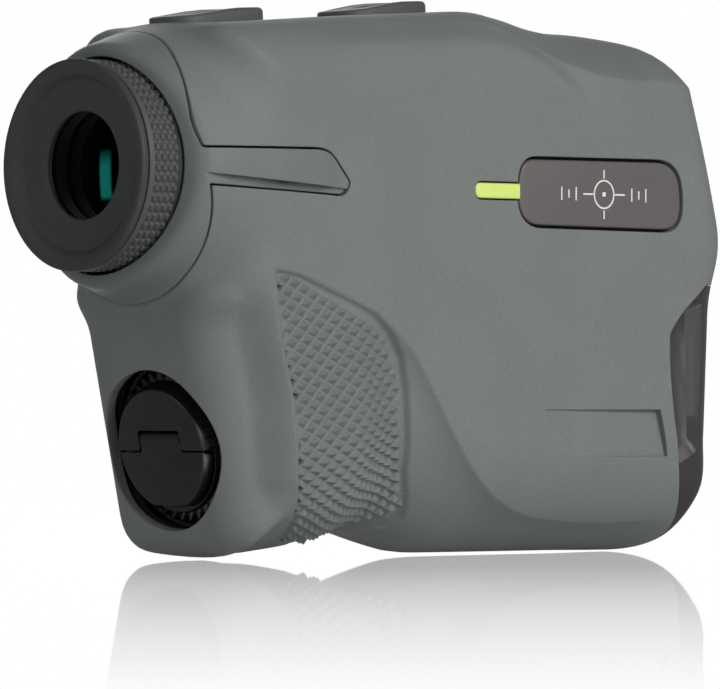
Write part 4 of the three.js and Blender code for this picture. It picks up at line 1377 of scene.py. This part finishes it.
def build_moving():
    dress(dioptre_ring(), "diopter", "ring", "diopter_ring")
    cap, flap, pin = battery_cap_parts()
    dress(cap, "battery_cap", "cap", "battery_cap")
    dress(flap, "cap_flap", "cap", "cap_flap")
    dress(pin, "battery_cap", "steel", "cap_flap_pin")
    for number in SCREW_PLACES:
        dress(screw(number), "body", "steel", "housing_screw_%d" % number)
    for kind in BUTTONS:
        dress(button_piece(kind), kind + "_button", "button", kind + "_button")


def dress_carried_over():
    """Every CAD node still shown gets the finish of its own material slot."""
    slots = {row["node"]: row["material_slot"] for row in frame["record"]["subparts"]}
    for node, obj in frame["nodes"].items():
        if obj.hide_render:
            continue
        obj.data.materials.clear()
        obj.data.materials.append(FINISHES[slots[node]])


# ------------------------------------------------------------------- studio
def row_point(x, y, z):
    return Vector(in_row_frame([[x, y, z]])[0])


def aim(obj, target):
    obj.rotation_euler = (target - obj.location).to_track_quat("-Z", "Y").to_euler()


CAMERA_PLACE = (-629.3, -722.85, 22.0)
CAMERA_TURN = math.radians(46.6)  # from +X towards +Y
CAMERA_RISE = math.radians(0.4543)


def add_camera():
    data = bpy.data.cameras.new("camera")
    data.lens = 350
    data.sensor_width = 36
    data.clip_end = 20
    camera = placed("camera", data)
    camera.location = row_point(*CAMERA_PLACE)
    ahead = Vector((math.cos(CAMERA_TURN), math.sin(CAMERA_TURN), math.tan(CAMERA_RISE)))
    camera.rotation_euler = ahead.to_track_quat("-Z", "Y").to_euler()
    bpy.context.scene.camera = camera


def add_area(name, place, target, size, power, tall=None, colour=(1, 1, 1)):
    data = bpy.data.lights.new(name, "AREA")
    data.shape = "RECTANGLE"
    data.size = size
    data.size_y = tall or size
    data.energy = power
    data.color = colour
    lamp = placed(name, data)
    lamp.location = Vector(place)
    aim(lamp, Vector(target))
    return lamp


def add_world():
    """Soft grey all round, with a white backdrop behind the object."""
    world = bpy.data.worlds.new("studio")
    world.use_nodes = True
    bpy.context.scene.world = world
    tree = world.node_tree
    tree.nodes.clear()
    out = fresh(tree, "OutputWorld")
    mix = fresh(tree, "MixShader")
    seen = fresh(tree, "Background")
    soft = fresh(tree, "Background")
    seen.inputs["Color"].default_value = (1, 1, 1, 1)
    soft.inputs["Color"].default_value = (0.96, 0.99, 1, 1)
    soft.inputs["Strength"].default_value = AMBIENT
    place = fresh(tree, "TexCoord")
    facing = fresh(tree, "VectorMath", operation="DOT_PRODUCT")
    facing.inputs[1].default_value = (math.cos(CAMERA_TURN), math.sin(CAMERA_TURN), 0)
    link(tree, place.outputs["Generated"], facing.inputs[0])
    back = remap(tree, facing.outputs["Value"], 0, 1, 0.9, 0.95)
    path = fresh(tree, "LightPath")
    most = fresh(tree, "Math", operation="MAXIMUM")
    link(tree, back, most.inputs[0])
    link(tree, path.outputs["Is Camera Ray"], most.inputs[1])
    link(tree, most.outputs[0], mix.inputs[0])
    link(tree, soft.outputs[0], mix.inputs[1])
    link(tree, seen.outputs[0], mix.inputs[2])
    link(tree, mix.outputs[0], out.inputs[0])


AMBIENT = 0.13
FLOOR_BOUNCE = 0.42
FLOOR_GAP = 0.00012  # metres between the base and the floor


def add_floor():
    """A white glossy table whose reflection fades away from the object."""
    reach = 6.0
    mesh = bpy.data.meshes.new("floor")
    mesh.from_pydata([(-reach, -reach, 0), (reach, -reach, 0), (reach, reach, 0), (-reach, reach, 0)], [],
                     [(0, 1, 2, 3)])
    floor = placed("floor", mesh)
    floor.location.z = -FLOOR_GAP
    made = bpy.data.materials.new("white_table")
    made.use_nodes = True
    tree = made.node_tree
    tree.nodes.clear()
    out = fresh(tree, "OutputMaterial")
    mix = fresh(tree, "MixShader")
    glow = fresh(tree, "Emission")
    gloss = fresh(tree, "BsdfGlossy")
    gloss.inputs["Roughness"].default_value = 0.02
    gloss.inputs["Color"].default_value = (1, 1, 1, 1)
    path = fresh(tree, "LightPath")
    link(tree, remap(tree, path.outputs["Is Camera Ray"], FLOOR_BOUNCE, 1.0, 0, 1), glow.inputs["Strength"])
    place = fresh(tree, "TexCoord")
    length = fresh(tree, "VectorMath", operation="LENGTH")
    link(tree, place.outputs["Object"], length.inputs[0])
    link(tree, remap(tree, length.outputs["Value"], 0.62, 0.04, 0.07, 0.46), mix.inputs[0])
    link(tree, glow.outputs[0], mix.inputs[1])
    link(tree, gloss.outputs[0], mix.inputs[2])
    link(tree, mix.outputs[0], out.inputs[0])
    mesh.materials.append(made)


def add_studio():
    scene = bpy.context.scene
    scene.view_settings.view_transform = "Standard"
    scene.view_settings.look = "None"
    add_camera()
    add_world()
    add_floor()
    middle = (0, 0, 0.04)
    add_area("key", (0.02, -0.88, 0.42), middle, 0.6, 6.5, 0.45)
    add_area("rear", (-0.8, 0.12, 0.5), middle, 0.4, 1.1, 0.4)
    add_area("far_fill", (0.55, 0.85, 0.45), middle, 0.5, 2.4, 0.5)
    add_area("near_lens", (-0.72, -0.5, 0.1), (-0.05, 0, 0.054), 0.12, 0.35, 0.12)


# --------------------------------------------------------------------- build
def main():
    build_body()
    build_housings()
    build_turned()
    build_moving()
    dress_carried_over()
    add_studio()


main()
